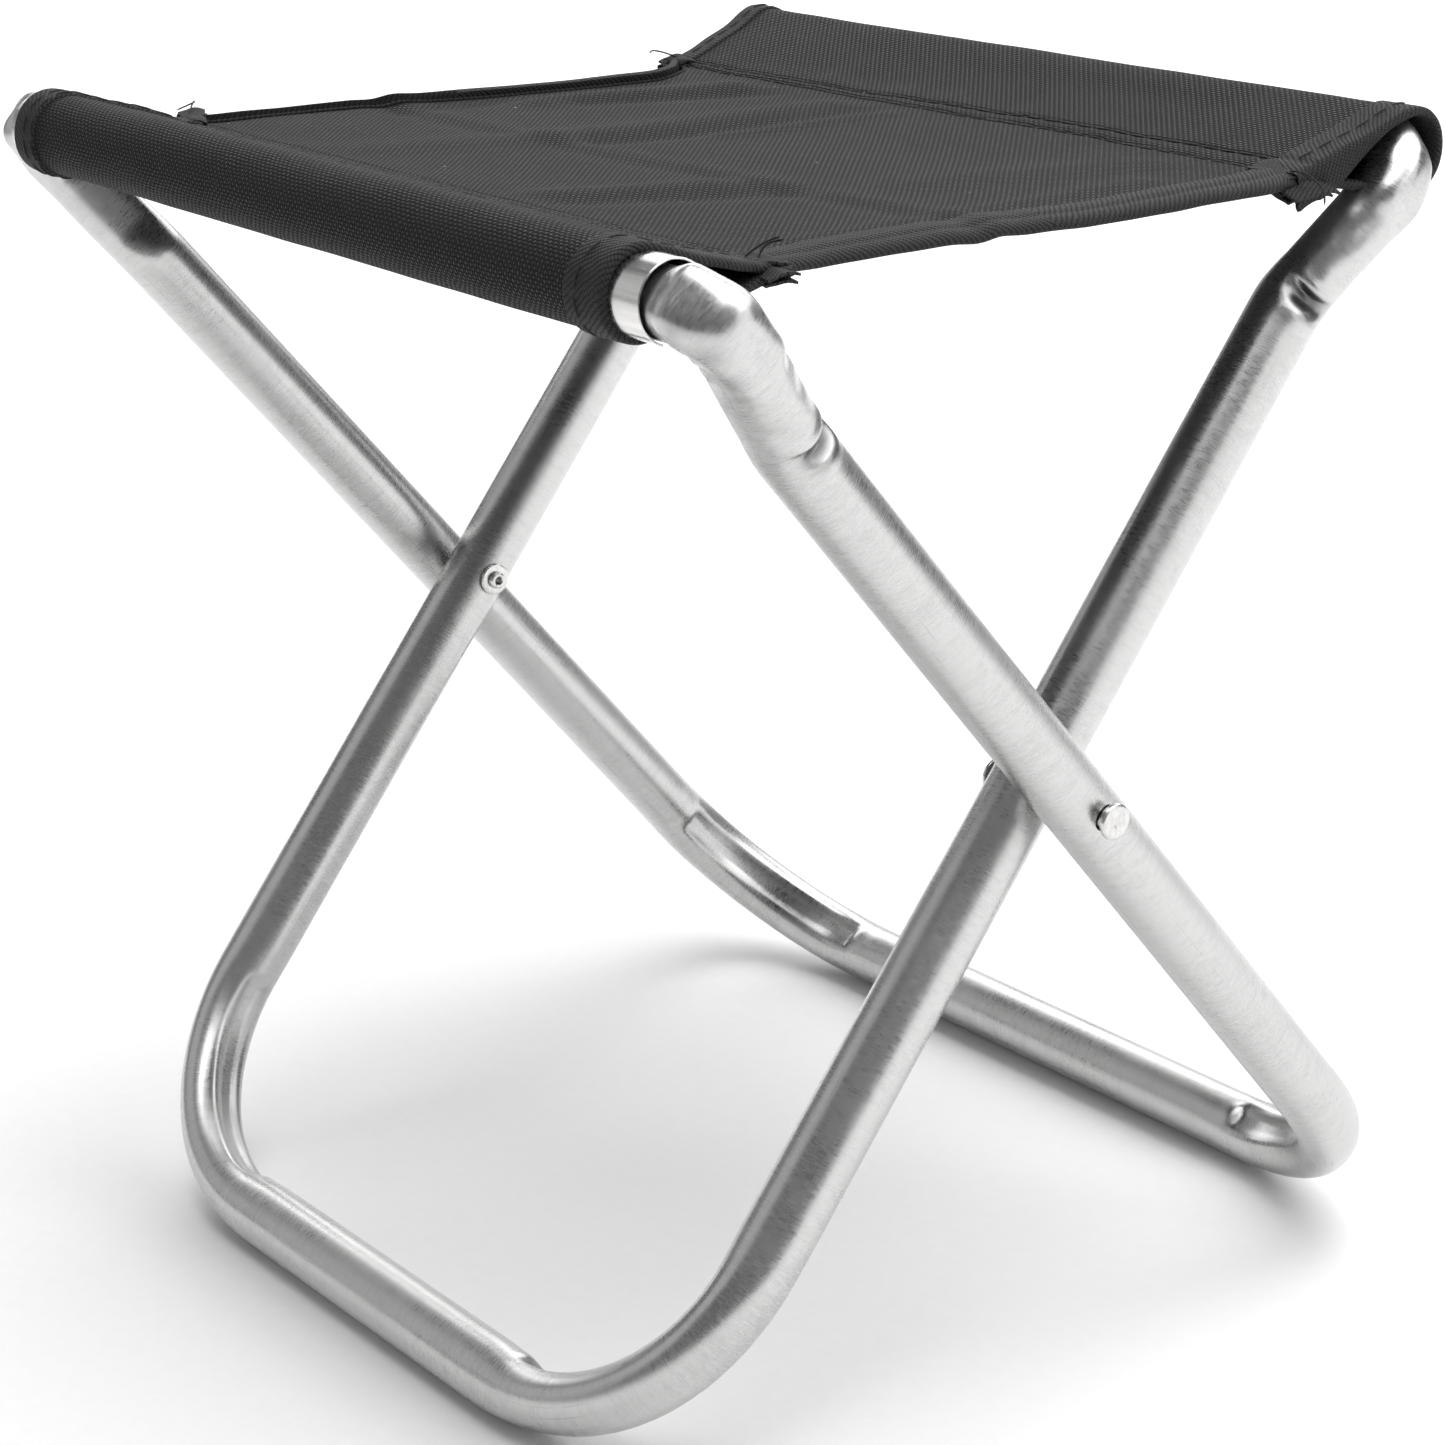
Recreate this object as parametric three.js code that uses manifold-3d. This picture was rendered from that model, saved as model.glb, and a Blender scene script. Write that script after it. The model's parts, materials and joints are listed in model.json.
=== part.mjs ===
// A folding camp stool: two crossed bent-tube frames riveted together half way up their legs,
// a split metal rail sleeve across the top of each frame, and a cloth seat whose two sewn
// pockets slide over the sleeves. Millimetres, +Z up, origin on the floor under the pivots,
// +X along the rails and the pivot axis, -Y at the front.

import * as THREE from 'three';
import { mergeVertices } from 'three/addons/utils/BufferGeometryUtils.js';
import Module from 'manifold-3d';

const wasm = await Module();
wasm.setup();

// ---- driving dimensions ----

// Aluminium tube
const TUBE_RADIUS = 8;
const TUBE_WALL = 1;
const TUBE_SIDES = 20;
const BORE_SIDES = 12;

// Both frames, measured along the leg from the pivot
const LEG_TILT = THREE.MathUtils.degToRad(39.75);
const PIVOT_TO_BAR = 168;
const PIVOT_TO_RAIL = 163.5;
const PIVOT_TO_KINK = 124;
const BAR_BEND_RADIUS = 50;
const KINK_RADIUS = 30;
const BEND_STEP = THREE.MathUtils.degToRad(12);

// Each frame: its straight leg, its flared top corner and that corner's radius, the open end of
// its tube, and its sleeve's end
const OUTER = { lean: -1, legX: 122.1, cornerX: 134.5, cornerRadius: 8.8, stubX: 106, sleeveX: 121.5 };
const INNER = { lean: 1, legX: 104.7, cornerX: 118.5, cornerRadius: 10, stubX: 88, sleeveX: 103.5 };

// The tube's ends are drawn down to enter the sleeve, up to just past the sleeve's end
const STUB_RADIUS = 7.4;
const STUB_PAST_SLEEVE = 0.7;

// Split rail sleeve
const SLEEVE_RADIUS = 8.35;
const SLEEVE_WALL = 0.5;
const SLEEVE_LIP = 4;
const SLEEVE_FROM = THREE.MathUtils.degToRad(60);
const SLEEVE_TO = THREE.MathUtils.degToRad(250);

// Rivets
const RIVET_SHANK_RADIUS = 1.6;
const RIVET_HOLE_RADIUS = 1.95;
const RIVET_HEAD_RADIUS = 4;
const RIVET_HEAD_THICKNESS = 1.3;
const RIVET_HEAD_STANDS = 3;
const RIVET_COLLAR_RADIUS = 2.6;
const HEAD_HOLE_RADIUS = 3;
const WASHER_RADIUS = 4.1;
const WASHER_THICKNESS = 0.8;
const TAIL_RADIUS = 2.2;
const TAIL_LENGTH = 1.2;
const TAIL_HOLE_RADIUS = 0.9;
const TAIL_HOLE_DEPTH = 3;

// Cloth
const GAP = 0.3;
const POCKET_BORE = 8.7;
const POCKET_OUTER = 9.6;
const POCKET_BORE_TIP = 29;
const SEAM_REACH = 37.5;
const SEAM_THICKNESS = 1.8;
const PANEL_THICKNESS = 1;
const TAPE_WIDTH = 7.4;
const TAPE_OUTER = 10;
const EDGE_TAPE_THICKNESS = 1.6;
const CLEAR_OF_TUBE = 8.5;
const FRONT_POCKET = { left: -118.5, right: 113 };
const REAR_POCKET = { left: -115.5, right: 116 };
// The seat's side edges: at the front seam, half way back and at the rear seam
const RIGHT_EDGE = [107.5, 114, 118.5];
const LEFT_EDGE = [-116, -107, -98];
const TAIL = { length: 9, width: 7, thickness: 2.4, fromRail: 32 };
const REAR_RIGHT_TAIL_DROP = 5;

// ---- places worked out from them ----

const PIVOT_Z = PIVOT_TO_BAR * Math.cos(LEG_TILT) + TUBE_RADIUS;
const RAIL_Y = PIVOT_TO_RAIL * Math.sin(LEG_TILT);
const RAIL_Z = PIVOT_Z + PIVOT_TO_RAIL * Math.cos(LEG_TILT);
const PANEL_HALF = RAIL_Y - SEAM_REACH - GAP;

// ---- materials ----

function material(color, roughness, metalness) {
  return new THREE.MeshStandardMaterial({ color, roughness, metalness });
}
const aluminium = () => material(0xc9cbcc, 0.38, 1);
const bright = () => material(0xd8d9d9, 0.25, 1);
const cloth = () => material(0x3c3c3e, 0.85, 0);
const tape = () => material(0x2e2e30, 0.8, 0);

// ---- small helpers ----

const model = new THREE.Group();

function add(name, geometry, finish, parent = model) {
  const mesh = new THREE.Mesh(geometry, finish);
  mesh.name = name;
  parent.add(mesh);
  return mesh;
}

// The solid of a closed geometry, and the geometry of a solid
function solid(geometry) {
  const bare = geometry.clone();
  bare.deleteAttribute('normal');
  bare.deleteAttribute('uv');
  const merged = mergeVertices(bare, 1e-4);
  return new wasm.Manifold(new wasm.Mesh({
    numProp: 3,
    vertProperties: new Float32Array(merged.attributes.position.array),
    triVerts: new Uint32Array(merged.index.array),
  }));
}

function geometryOf(manifold) {
  const mesh = manifold.getMesh();
  const geometry = new THREE.BufferGeometry();
  geometry.setAttribute('position', new THREE.BufferAttribute(mesh.vertProperties, 3));
  geometry.setIndex(new THREE.BufferAttribute(mesh.triVerts, 1));
  geometry.computeVertexNormals();
  return geometry;
}

function circle(radius, sides) {
  return Array.from({ length: sides }, (_, i) => {
    const angle = (2 * Math.PI * (i + 0.5)) / sides;
    return new THREE.Vector2(radius * Math.cos(angle), radius * Math.sin(angle));
  });
}

// Points along an arc from one angle to another, both included
function arc(radius, from, to, steps) {
  return Array.from({ length: steps + 1 }, (_, i) => {
    const angle = from + ((to - from) * i) / steps;
    return new THREE.Vector2(radius * Math.cos(angle), radius * Math.sin(angle));
  });
}

// A cylinder lying along X
function rod(radius, fromX, toX, sides = 16) {
  const geometry = new THREE.CylinderGeometry(radius, radius, toX - fromX, sides);
  return geometry.rotateZ(-Math.PI / 2).translate((fromX + toX) / 2, 0, 0);
}

// ---- bent tubes ----

// A curve through fixed stations, with more of them in the bends than on the straights
class StationCurve extends THREE.Curve {
  constructor(stations) {
    super();
    this.stations = stations;
  }
  station(u) {
    return this.stations[Math.round(u * (this.stations.length - 1))];
  }
  getPoint(t, target = new THREE.Vector3()) {
    return target.copy(this.station(t).point);
  }
  getPointAt(u, target) {
    return this.getPoint(u, target);
  }
  getTangent(t, target = new THREE.Vector3()) {
    return target.copy(this.station(t).tangent);
  }
  getTangentAt(u, target) {
    return this.getTangent(u, target);
  }
}

// Stations along straight lines through the corners, with each corner rounded to its radius
function roundedPath(corners) {
  const first = corners[0].point;
  const last = corners[corners.length - 1].point;
  const stations = [{ point: first, tangent: corners[1].point.clone().sub(first).normalize() }];
  for (let i = 1; i < corners.length - 1; i += 1) {
    const { point, radius } = corners[i];
    const back = corners[i - 1].point.clone().sub(point).normalize();
    const ahead = corners[i + 1].point.clone().sub(point).normalize();
    const opening = back.angleTo(ahead);
    const centre = back.clone().add(ahead).normalize()
      .multiplyScalar(radius / Math.sin(opening / 2)).add(point);
    const start = back.clone().multiplyScalar(radius / Math.tan(opening / 2)).add(point);
    const turn = Math.PI - opening;
    const spin = new THREE.Vector3().crossVectors(back.clone().negate(), ahead).normalize();
    const steps = Math.max(2, Math.ceil(turn / BEND_STEP));
    for (let k = 0; k <= steps; k += 1) {
      const angle = (turn * k) / steps;
      stations.push({
        point: start.clone().sub(centre).applyAxisAngle(spin, angle).add(centre),
        tangent: back.clone().negate().applyAxisAngle(spin, angle),
      });
    }
  }
  const before = corners[corners.length - 2].point;
  stations.push({ point: last, tangent: last.clone().sub(before).normalize() });
  return stations;
}

// A frame's centreline, from one open end round to the other: X is X, and Y runs up the leg
function centreline({ legX, cornerX, cornerRadius, stubX }) {
  const half = [
    [stubX, PIVOT_TO_RAIL, 0],
    [cornerX, PIVOT_TO_RAIL, cornerRadius],
    [legX, PIVOT_TO_KINK, KINK_RADIUS],
    [legX, -PIVOT_TO_BAR, BAR_BEND_RADIUS],
  ];
  const other = half.map(([x, y, radius]) => [-x, y, radius]).reverse();
  return new StationCurve(roundedPath([...half, ...other].map(([x, y, radius]) => (
    { point: new THREE.Vector3(x, y, 0), radius }
  ))));
}

function sweep(shape, curve) {
  return new THREE.ExtrudeGeometry(shape, {
    steps: curve.stations.length - 1, bevelEnabled: false, extrudePath: curve,
  });
}

// The frame's own plane, turned about the pivot axis so that its top leans to the front or rear
function leaning({ lean }) {
  const group = new THREE.Group();
  group.position.z = PIVOT_Z;
  group.rotation.x = Math.PI / 2 - lean * LEG_TILT;
  group.updateMatrix();
  return group;
}

// What is taken off the outside of both tube ends
function stubRing({ sleeveX }) {
  const halfLength = sleeveX + STUB_PAST_SLEEVE;
  const outside = TUBE_RADIUS + 0.5;
  const profile = [
    [STUB_RADIUS, -halfLength], [outside, -halfLength],
    [outside, halfLength], [STUB_RADIUS, halfLength], [STUB_RADIUS, -halfLength],
  ].map(([radius, x]) => new THREE.Vector2(radius, x));
  const ring = new THREE.LatheGeometry(profile, 2 * TUBE_SIDES);
  return ring.rotateZ(-Math.PI / 2).translate(0, PIVOT_TO_RAIL, 0);
}

// A bent tube with a clear bore and a hole through each leg for its rivet
function frameTube(frame, headHole) {
  const section = new THREE.Shape(circle(TUBE_RADIUS, TUBE_SIDES));
  section.holes.push(new THREE.Path(circle(TUBE_RADIUS - TUBE_WALL, BORE_SIDES)));
  let tube = solid(sweep(section, centreline(frame)));
  for (const side of [-1, 1]) {
    const near = side * (frame.legX - TUBE_RADIUS - 2);
    const far = side * (frame.legX + TUBE_RADIUS + 2);
    const [from, to] = [Math.min(near, far), Math.max(near, far)];
    tube = tube.subtract(solid(rod(RIVET_HOLE_RADIUS, from, to)));
    if (headHole) {
      const [low, high] = [Math.min(side * frame.legX, far), Math.max(side * frame.legX, far)];
      tube = tube.subtract(solid(rod(HEAD_HOLE_RADIUS, low, high)));
    }
  }
  return geometryOf(tube.subtract(solid(stubRing(frame))));
}

// ---- rails and pockets ----

// A section drawn with its +X towards the seat's middle and +Y up, run along a rail
function alongRail(shape, fromX, toX, { lean }) {
  const geometry = new THREE.ExtrudeGeometry(shape, { depth: toX - fromX, bevelEnabled: false });
  geometry.translate(0, 0, lean < 0 ? fromX : -toX);
  geometry.applyMatrix4(new THREE.Matrix4().makeBasis(
    new THREE.Vector3(0, -lean, 0), new THREE.Vector3(0, 0, 1), new THREE.Vector3(-lean, 0, 0),
  ));
  return geometry.translate(0, lean * RAIL_Y, RAIL_Z);
}

// The sleeve is rolled from strip: a lip over the top, round the outside, open below and inside
function sleeveSection() {
  const inner = SLEEVE_RADIUS - SLEEVE_WALL;
  const steps = 22;
  const along = new THREE.Vector2(Math.sin(SLEEVE_FROM), -Math.cos(SLEEVE_FROM))
    .multiplyScalar(SLEEVE_LIP);
  const outside = arc(SLEEVE_RADIUS, SLEEVE_FROM, SLEEVE_TO, steps);
  const inside = arc(inner, SLEEVE_TO, SLEEVE_FROM, steps);
  return new THREE.Shape([
    outside[0].clone().add(along), ...outside, ...inside, inside[steps].clone().add(along),
  ]);
}

// A teardrop: round the rail, then two straight sides that meet at the seam
function teardrop(radius, tip, tipHalf) {
  const touch = Math.acos(radius / tip);
  const round = arc(radius, touch, 2 * Math.PI - touch, 24);
  return tipHalf > 0
    ? [...round, new THREE.Vector2(tip, -tipHalf), new THREE.Vector2(tip, tipHalf)]
    : [...round, new THREE.Vector2(tip, 0)];
}

function pocketSection(outer) {
  const section = new THREE.Shape(teardrop(outer, SEAM_REACH, SEAM_THICKNESS / 2));
  section.holes.push(new THREE.Path(teardrop(POCKET_BORE, POCKET_BORE_TIP, 0)));
  return section;
}

// A pocket or its end tape, cut back where the tube's corner comes out of it
function roundRail(frame, outer, fromX, toX) {
  const room = sweep(new THREE.Shape(circle(CLEAR_OF_TUBE, TUBE_SIDES)), centreline(frame));
  room.applyMatrix4(leaning(frame).matrix);
  const whole = solid(alongRail(pocketSection(outer), fromX, toX, frame));
  return geometryOf(whole.subtract(solid(room)));
}

// ---- seat panel ----

function edgeCurve([front, middle, rear]) {
  const control = 2 * middle - (front + rear) / 2;
  return new THREE.QuadraticBezierCurve(
    new THREE.Vector2(front, -PANEL_HALF), new THREE.Vector2(control, 0),
    new THREE.Vector2(rear, PANEL_HALF),
  );
}

// A flat plate between two edges, each pushed in by its own amount
function plate(edgeA, insetA, edgeB, insetB, thickness) {
  const points = (edge, inset) => edgeCurve(edge).getPoints(12)
    .map((p) => new THREE.Vector2(p.x - inset, p.y));
  const shape = new THREE.Shape([...points(edgeA, insetA), ...points(edgeB, insetB).reverse()]);
  const geometry = new THREE.ExtrudeGeometry(shape, { depth: thickness, bevelEnabled: false });
  return geometry.translate(0, 0, RAIL_Z - thickness / 2);
}

// ---- rivets ----

function onPivot(profile, side) {
  const points = profile.map(([radius, x]) => new THREE.Vector2(radius, x));
  const geometry = new THREE.LatheGeometry(points, 24);
  return geometry.rotateZ(-side * Math.PI / 2).translate(0, 0, PIVOT_Z);
}

function rivet(side) {
  const outsideX = OUTER.legX + TUBE_RADIUS;
  const headTop = outsideX + RIVET_HEAD_STANDS;
  const headUnder = headTop - RIVET_HEAD_THICKNESS;
  const washerFace = INNER.legX - TUBE_RADIUS - GAP - WASHER_THICKNESS;
  const tailFrom = washerFace - GAP;
  const tailEnd = tailFrom - TAIL_LENGTH;
  return onPivot([
    [0, tailEnd + TAIL_HOLE_DEPTH], [TAIL_HOLE_RADIUS, tailEnd + TAIL_HOLE_DEPTH],
    [TAIL_HOLE_RADIUS, tailEnd + 0.3], [TAIL_HOLE_RADIUS + 0.4, tailEnd],
    [TAIL_RADIUS - 0.4, tailEnd], [TAIL_RADIUS, tailEnd + 0.4], [TAIL_RADIUS, tailFrom],
    [RIVET_SHANK_RADIUS, tailFrom], [RIVET_SHANK_RADIUS, outsideX - TUBE_WALL],
    [RIVET_COLLAR_RADIUS, outsideX - TUBE_WALL], [RIVET_COLLAR_RADIUS, headUnder],
    [RIVET_HEAD_RADIUS, headUnder], [RIVET_HEAD_RADIUS, headTop - 0.4],
    [RIVET_HEAD_RADIUS - 0.5, headTop], [0, headTop],
  ], side);
}

function washer(side) {
  const face = INNER.legX - TUBE_RADIUS - GAP;
  const back = face - WASHER_THICKNESS;
  return onPivot([
    [RIVET_HOLE_RADIUS, back], [WASHER_RADIUS - 0.2, back], [WASHER_RADIUS, back + 0.2],
    [WASHER_RADIUS, face], [RIVET_HOLE_RADIUS, face], [RIVET_HOLE_RADIUS, back],
  ], side);
}

// The bunched end of a binding tape, bar-tacked where the seat's edge meets a pocket's seam
function cornerTail(edgeX, { lean }, drop = 0) {
  const side = Math.sign(edgeX);
  const { length, width, thickness, fromRail } = TAIL;
  const shape = new THREE.Shape();
  shape.moveTo(0, -width / 2);
  shape.lineTo(length - width / 2, -width / 2);
  shape.absarc(length - width / 2, 0, width / 2, -Math.PI / 2, Math.PI / 2, false);
  shape.lineTo(0, width / 2);
  const geometry = new THREE.ExtrudeGeometry(shape, {
    depth: thickness, bevelEnabled: false, curveSegments: 8,
  });
  if (side < 0) geometry.rotateZ(Math.PI);
  const outward = edgeX + side * GAP;
  return geometry.translate(outward, lean * (RAIL_Y - fromRail), RAIL_Z - thickness / 2 - drop);
}

// ---- the model ----

for (const [name, frame, headHole] of [['outer', OUTER, true], ['inner', INNER, false]]) {
  const group = leaning(frame);
  model.add(group);
  add(`${name}_frame_tube`, frameTube(frame, headHole), aluminium(), group);
}

for (const [name, frame] of [['front', OUTER], ['rear', INNER]]) {
  const geometry = alongRail(sleeveSection(), -frame.sleeveX, frame.sleeveX, frame);
  add(`${name}_rail_sleeve`, geometry, bright());
}

for (const [name, side] of [['left', -1], ['right', 1]]) {
  add(`${name}_rivet`, rivet(side), bright());
  add(`${name}_rivet_washer`, washer(side), bright());
}

for (const [name, frame, { left, right }] of [
  ['front', OUTER, FRONT_POCKET], ['rear', INNER, REAR_POCKET],
]) {
  const from = left + TAPE_WIDTH + GAP;
  const to = right - TAPE_WIDTH - GAP;
  add(`${name}_pocket`, roundRail(frame, POCKET_OUTER, from, to), cloth());
  add(`${name}_pocket_left_tape`, roundRail(frame, TAPE_OUTER, left, left + TAPE_WIDTH), tape());
  add(`${name}_pocket_right_tape`, roundRail(frame, TAPE_OUTER, right - TAPE_WIDTH, right), tape());
}

const inset = TAPE_WIDTH + GAP;
add('seat_panel', plate(RIGHT_EDGE, inset, LEFT_EDGE, -inset, PANEL_THICKNESS), cloth());
add('left_edge_tape', plate(LEFT_EDGE, -TAPE_WIDTH, LEFT_EDGE, 0, EDGE_TAPE_THICKNESS), tape());
add('right_edge_tape', plate(RIGHT_EDGE, 0, RIGHT_EDGE, TAPE_WIDTH, EDGE_TAPE_THICKNESS), tape());

for (const [name, frame, { left, right }, drop] of [
  ['front', OUTER, FRONT_POCKET, 0], ['rear', INNER, REAR_POCKET, REAR_RIGHT_TAIL_DROP],
]) {
  add(`${name}_left_corner_tail`, cornerTail(left, frame), tape());
  add(`${name}_right_corner_tail`, cornerTail(right, frame, drop), tape());
}

export default model;
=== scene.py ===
"""A folding camp stool: two crossed frames of bent aluminium tube and a sewn cloth seat.

Lengths are in millimetres until a mesh is made, and angles in degrees where a name says so.
Along a frame's plane, s runs up the leg from the pivot. Across the seat, t is the distance
along the cloth from the seat's middle: over the panel and a pocket's top, round the rail
and back underneath to the seam.
"""

import json
import math

import bmesh
import bpy
import numpy as np
from mathutils import Matrix, Vector


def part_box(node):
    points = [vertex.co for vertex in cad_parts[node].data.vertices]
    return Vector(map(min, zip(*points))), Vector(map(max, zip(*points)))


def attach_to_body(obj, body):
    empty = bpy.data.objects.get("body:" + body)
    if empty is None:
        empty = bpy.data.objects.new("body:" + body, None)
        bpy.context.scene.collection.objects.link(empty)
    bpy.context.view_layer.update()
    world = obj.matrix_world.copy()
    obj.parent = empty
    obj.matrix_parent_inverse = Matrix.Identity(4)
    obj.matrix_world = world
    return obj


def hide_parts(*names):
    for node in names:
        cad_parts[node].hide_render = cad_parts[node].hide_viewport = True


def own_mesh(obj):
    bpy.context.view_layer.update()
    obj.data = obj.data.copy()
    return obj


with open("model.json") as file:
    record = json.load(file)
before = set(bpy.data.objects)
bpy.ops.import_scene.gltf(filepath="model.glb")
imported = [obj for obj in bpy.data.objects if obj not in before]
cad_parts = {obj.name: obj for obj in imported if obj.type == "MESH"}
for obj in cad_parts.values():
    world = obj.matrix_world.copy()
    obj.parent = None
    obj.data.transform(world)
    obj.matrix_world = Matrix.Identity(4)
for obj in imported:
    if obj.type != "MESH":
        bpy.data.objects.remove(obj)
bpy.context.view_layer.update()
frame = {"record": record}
MM = 0.001

# ---- sizes read from the frame ----

RECORD = frame["record"]
JOINTS = {joint["name"]: joint for joint in RECORD["behaviour"]["joints"]}
FOLD_ANGLE = math.radians(JOINTS["outer_fold"]["range_deg"][1])
PIVOT_Z = JOINTS["outer_fold"]["pos_m"][2] / MM

SLEEVE_BOX = [np.array(corner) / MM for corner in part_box("front_rail_sleeve")]
SLEEVE_RADIUS = 8.35
SLEEVE_END = SLEEVE_BOX[1][0]
REAR_SLEEVE_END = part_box("rear_rail_sleeve")[1][0] / MM
RAIL_Y = -SLEEVE_BOX[0][1] - SLEEVE_RADIUS
RAIL_Z = SLEEVE_BOX[1][2] - SLEEVE_RADIUS

TUBE_RADIUS = 8.0
TILT = math.atan2(RAIL_Y, RAIL_Z - PIVOT_Z)
TO_RAIL = math.hypot(RAIL_Y, RAIL_Z - PIVOT_Z)
TO_BAR = (PIVOT_Z - TUBE_RADIUS) / math.cos(TILT)

# ---- sizes of the frames ----

TO_KINK = 124.0
BAR_BEND_RADIUS = 50.0
KINK_RADIUS = 30.0
STUB_RADIUS = 7.1
STUB_DROP = 0.5
SLEEVE_WALL = 0.5
SLEEVE_FROM_DEG = 59.0
SLEEVE_TO_DEG = 250.0
SLEEVE_LIP = 3.4
SLEEVE_BEVEL = 0.12
TUBE_SIDES = 48
BORE_SHARE = 0.88
BORE_DEPTH = 10.0

OUTER = {
    "name": "outer", "lean": -1, "leg": 122.1, "corner": 134.5, "corner_radius": 8.8,
    "stub": 106.0, "sleeve_end": SLEEVE_END, "sleeve": "front_rail_sleeve", "neck": 2.6,
    "rack": 1.7, "bulge": (0.3, 2.6), "tuck": 2.8,
}
INNER = {
    "name": "inner", "lean": 1, "leg": 104.7, "corner": 118.5, "corner_radius": 10.0,
    "stub": 88.0, "sleeve_end": REAR_SLEEVE_END, "sleeve": "rear_rail_sleeve", "neck": 1.8,
    "rack": 0.0, "bulge": (0.8, 0.8), "tuck": 0.0,
}

# Knocks in the tubes: the frame's lean, the side, x, s, angle round the tube, radius and depth
DENTS = [
    (-1, 1, 128, 163, -0.45, 1.6, 0.4), (-1, 1, 131, 160, -0.75, 1.3, 0.35),
    (-1, 1, 133, 156, -0.2, 1.8, 0.35), (-1, 1, 133, 150, 0.5, 2.2, -0.3),
    (-1, 1, 131, 145, 0.9, 2.5, 0.5), (-1, 1, 128, 138, 0.75, 2.4, 0.45),
    (-1, -1, 131, 158, -0.9, 2.2, 0.5), (-1, -1, 130, 146, 1.2, 2.6, 0.5),
    (1, 1, 115, 150, -0.3, 2.2, 0.45), (-1, 1, 126, 158, -2.4, 1.6, 0.5),
    (-1, 1, 138, 154, 0.15, 1.4, 0.45), (1, 1, 113, 142, 0.4, 2.4, 0.4),
    (1, -1, 114, 148, -0.6, 2.4, 0.45), (1, 1, 113, 156, 0.8, 2.0, 0.4),
]

# ---- sizes of the rivets ----

RIVET_HOLE = 1.95
HEAD_HOLE = 3.0
HEAD_HOLE_FROM = 3.0
PAST_LEG = 12.0
HEAD_STAND = 3.0
HEAD_THICK = 1.3
RIVET_BORE = 0.9
RIVET_SHANK = 1.6
WASHER = 0.8
RIVET_GAP = 0.3
TAIL_ROLL = 1.2

# ---- sizes of the cloth ----

CLOTH = 0.8
TAPE = 0.32
WRAP_RADIUS = 9.2
POCKET_SLOPE = math.radians(17)
STITCH_PITCH = 5.6
STITCH_LENGTH = 4.9
THREAD_RADIUS = 0.27
LOOSE_RADIUS = 0.22
STITCH_HEIGHT = 0.26
HEM_HEIGHT = 0.6
LINE_STEP = 0.25
CLOTH_COLUMNS = 131

# Where the lower layer meets the panel's underside and where it ends, as |y|
UNDER_KNEE = 71.0
UNDER_END = 66.0

# How far inside the rim the cloth stops: everywhere, and further where a side binding covers it
CLOTH_INSET = 0.9
BINDING_INSET = 4.7

# Distances along the cloth: the side binding's end, the mouth binding's start and the seam
PANEL_BINDING_END = 70.0
MOUTH_FROM = 68.5
SEAM_MIDDLE = 70.0
STITCH_ROWS = (67.6, 68.6, 69.2, 70.4, 72.4, 73.2, 74.0, 75.0)

# The rear right mouth's hanging lip, and how many of the far rear binding's points get the tape with painted
# shade
DEEP_LIP = 6.5
FAR_SHADED = 12
EDGE_POINTS = 34
MOUTH_POINTS = 30

# How flat the hanging cloth gets, how far from the middle it hangs, and the angles to search
KEEP = 0.05
HANG_GAP = 1.5
HANG_ANGLES = {1: (-60, -25), -1: (205, 240)}

# Soft folds in the panel: from (x, y) to (x, y), half-width and height
FOLDS = [
    (-82, 12, -64, 60, 7, 1.0), (-74, 18, -52, 62, 5, -0.8), (-42, -18, -26, 62, 8, 0.9),
    (-30, -10, -12, 60, 5, -0.7), (-18, 18, -8, 62, 5, 0.7), (16, -64, 34, -18, 7, 0.8),
    (28, -60, 48, -14, 6, -0.6), (60, 10, 84, 62, 9, 0.5), (-60, -62, -44, -22, 9, 0.5),
    (92, -50, 96, 40, 5, 0.5), (-95, -20, -86, 50, 6, -0.6),
]
FOLD_SCALE = 1.35
CROSS_CREASE = -17.0

# The mouth bindings' width and thickness by half and side, and their hem rows' distances from the rim
MOUTHS = {
    ("front", 1): (12.3, 0.62), ("front", -1): (9.6, 0.6),
    ("rear", 1): (11.5, 0.6), ("rear", -1): (6.5, 0.55),
}
MOUTH_STITCHES = {
    ("front", 1): [8.2], ("front", -1): [5.3, 8.9], ("rear", 1): [5.6], ("rear", -1): [3.2],
}

# Loose ends of thread, as (x, |y|, height above the panel) points
THREAD_ENDS = {
    "front": [
        [(101, 73, 0.4), (102.2, 71.3, 2.2), (103.6, 69, 4.0), (106, 67, 5.2)],
        [(103.5, 70.7, 0.4), (103.0, 69.2, 2.4), (103.6, 67.8, 3.9), (106.2, 66, 4.5)],
        [(-118, 68, 0.8), (-122, 64, 4.0), (-126, 61, 3.0), (-127, 66, 1.4)],
    ],
    "rear": [
        [(-101, 71, 0.6), (-106, 69, 2.4), (-109, 66, 3.4), (-107, 63.5, 3.0)],
        [(112, 69, 0.6), (118, 67, 1.6), (123, 68, -1.5), (125, 66, -4.5)],
    ],
}

# The bindings' bunched ends: the line of each, as (x, |y|, height above the panel), and its width
TAILS = {
    ("front", 1): ([(98, 70, 0.4), (103, 70.3, 0.4), (108, 70.6, 0.2), (113, 71, -0.2)], 7.5),
    ("front", -1): ([(-112, 69, 0.2), (-118, 66.5, 0.8), (-124, 63, 1.2), (-129.5, 60.5, 0.4)], 6.5),
    ("rear", 1): ([(103, 71, 0.6), (109, 71, 0.2), (114.5, 71, -1.4), (119.5, 71, -3.4)], 14.0),
    ("rear", -1): ([(-99, 70.5, 0.2), (-103, 71, 0.8), (-107, 71.5, 1.0), (-110.5, 72, 0.4)], 6.5),
}
TAIL_LAYER = 0.6
TAIL_ROWS = 16
TAIL_LAYERS = ((-0.5, 11), (0.5, 16), (1.5, 12), (2.5, 14))

# ---- sizes of the looks ----

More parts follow.
